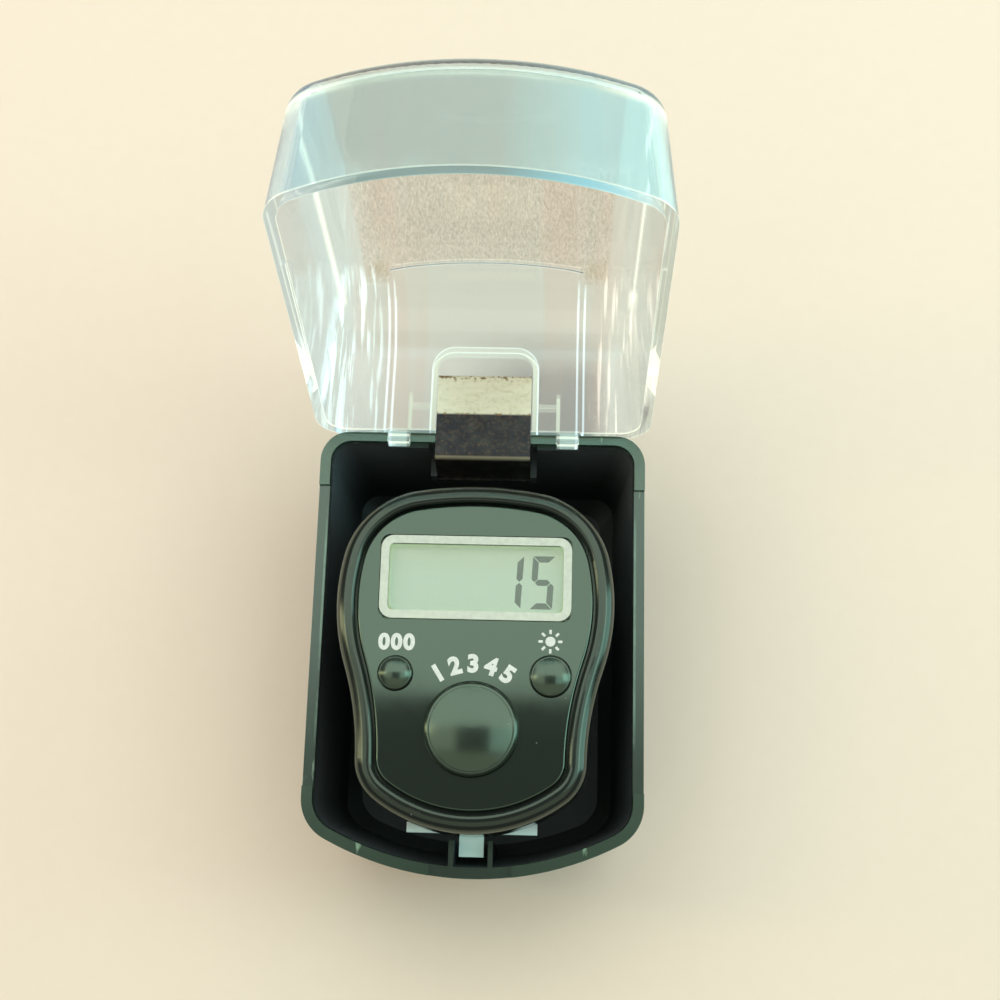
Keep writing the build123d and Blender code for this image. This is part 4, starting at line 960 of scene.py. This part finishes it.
def make_ring():
    inner = RING_BORE / 2
    bend_z = BACK_Z - RING_DEPTH + inner
    clear_selection()
    bpy.ops.mesh.primitive_cylinder_add(
        vertices=96, radius=(inner + RING_T) * MM, depth=RING_BAND * MM, end_fill_type="NOTHING",
        location=(0, RING_MIDDLE * MM, bend_z * MM), rotation=(pi / 2, 0, 0))
    ring = started("ring_band")
    edit(ring)
    bpy.ops.mesh.select_all(action="SELECT")
    bpy.ops.mesh.bisect(plane_co=(0, 0, bend_z * MM), plane_no=(0, 0, 1), clear_outer=True)
    bpy.ops.object.mode_set(mode="OBJECT")
    pick(ring, "EDGE", lambda c: c.z > (bend_z - 0.01) * MM)
    extrude_by(0, 0, RING_HOOK_Z + RING_HOOK_T - bend_z)
    bpy.ops.object.mode_set(mode="OBJECT")
    outward(ring)
    finish_with(ring, ("SOLIDIFY", {"thickness": RING_T * MM, "offset": -1.0}))
    outward(ring)
    for side in (-1, 1):
        edge = side * inner
        pick(ring, "FACE", lambda c: abs(c.x - edge * MM) < 0.05 * MM and c.z > bend_z * MM)
        bpy.ops.mesh.bisect(plane_co=(0, 0, RING_HOOK_Z * MM), plane_no=(0, 0, 1))
        bpy.ops.object.mode_set(mode="OBJECT")
        pick(ring, "FACE", lambda c: abs(c.x - edge * MM) < 0.05 * MM and c.z > RING_HOOK_Z * MM)
        extrude_by(-side * RING_HOOK, 0, 0)
        bpy.ops.object.mode_set(mode="OBJECT")
    finish_with(ring, ("BEVEL", {"width": RING_EDGE * MM, "segments": 3, "angle_limit": radians(50)}))
    outward(ring)
    smooth(ring, 40)
    dress(ring, RUBBER, "counter")
    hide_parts("finger_ring")


make_spring()
make_border()
make_digits()
make_marks()
for button in BUTTONS:
    make_skirt(button)
make_ring()


# Floor, light and camera
FLOOR_LOW, FLOOR_HIGH = (0.875, 0.78, 0.625), (0.885, 0.79, 0.635)
FLOOR_FAR_GLOW = (0.74, 0.67, 0.53)
FLOOR_FAR = (0.35, 1.3)   # distances over which that glow sets in, in metres


def floor_finish():
    """Cream paper; far from the object it keeps its brightness."""
    f = Finish("floor_cream", (0.88, 0.785, 0.63), 0.8, Emission_Strength=1.0)
    paper = f.noise(400.0, 3.0)
    f.feed("Base Color", f.blend(f.ramp(paper, 0.3, 0.7), FLOOR_LOW, FLOOR_HIGH))
    far = f.ramp(f.length(f.coords), *FLOOR_FAR)
    f.feed("Emission Color", f.blend(far, NO_GLOW, FLOOR_FAR_GLOW))
    return f.material


def make_floor():
    clear_selection()
    bpy.ops.mesh.primitive_plane_add(size=8, location=(0, 0, -0.0002))
    floor = started("floor")
    floor.data.materials.append(floor_finish())


# Name, place, aim, width and depth in metres, watts and colour
LAMPS = (
    ("panel_above", (0, 0.47, 0.62), (0, 0.47, 0), (1.4, 0.8), 6.4, (1.0, 1.0, 0.98)),
    ("strip_left", (-0.55, 0.05, 0.25), (0, 0, 0.03), (0.08, 0.6), 0.6, (1.0, 0.8, 0.55)),
    ("strip_right", (0.5, 0.05, 0.22), (0, 0, 0.03), (0.2, 0.6), 1.0, (0.62, 0.97, 1.0)),
    ("panel_front", (0, -0.5, 0.62), (0, -0.5, 0), (1.4, 0.6), 1.45, (1.0, 0.92, 0.74)),
    ("panel_left", (-0.46, -0.06, 0.62), (-0.46, -0.06, 0), (0.56, 0.26), 0.5, (1.0, 0.95, 0.85)),
    ("panel_right", (0.46, -0.06, 0.62), (0.46, -0.06, 0), (0.56, 0.26), 0.7, (0.8, 1.0, 1.0)),
)
WORLD_LIGHT, WORLD_STRENGTH = (1.0, 0.985, 0.95, 1.0), 0.17
WORLD_SEEN = (0.9, 0.83, 0.7, 1.0)


def make_lamp(name, place_at, aim, size, power, color):
    data = bpy.data.lights.new(name, "AREA")
    data.shape = "RECTANGLE"
    data.size, data.size_y = size
    data.energy, data.color = power, color
    lamp = bpy.data.objects.new(name, data)
    lamp.location = place_at
    lamp.rotation_euler = (Vector(aim) - Vector(place_at)).to_track_quat("-Z", "Y").to_euler()
    lamp.visible_camera = False
    bpy.context.scene.collection.objects.link(lamp)


def make_world():
    world = bpy.data.worlds.new("studio")
    bpy.context.scene.world = world
    world.use_nodes = True
    tree = world.node_tree
    light = tree.nodes["Background"]
    light.inputs["Color"].default_value = WORLD_LIGHT
    light.inputs["Strength"].default_value = WORLD_STRENGTH
    seen = place(tree, "Background", Color=WORLD_SEEN)
    ray = place(tree, "LightPath").outputs["Is Camera Ray"]
    mix = place(tree, "MixShader", {0: ray, 1: light.outputs[0], 2: seen.outputs[0]})
    tree.links.new(mix.outputs[0], tree.nodes["World Output"].inputs["Surface"])


CAMERA_AT = (0.00848, -0.03088, 0.21457)
CAMERA_TURN = (-14.73, -1.76, -1.11)       # degrees about x, then y, then z, from world to camera
CAMERA_LENS = 55.25


def make_camera():
    data = bpy.data.cameras.new("camera")
    data.lens, data.sensor_width = CAMERA_LENS, 36.0
    data.clip_start = 0.01
    camera = bpy.data.objects.new("camera", data)
    x, y, z = (Matrix.Rotation(radians(a), 3, axis) for a, axis in zip(CAMERA_TURN, "XYZ"))
    camera.matrix_world = Matrix.Translation(CAMERA_AT) @ (z @ y @ x).transposed().to_4x4()
    bpy.context.scene.collection.objects.link(camera)
    bpy.context.scene.camera = camera


make_floor()
make_world()
for lamp in LAMPS:
    make_lamp(*lamp)
make_camera()
bpy.context.scene.view_settings.view_transform = "Standard"
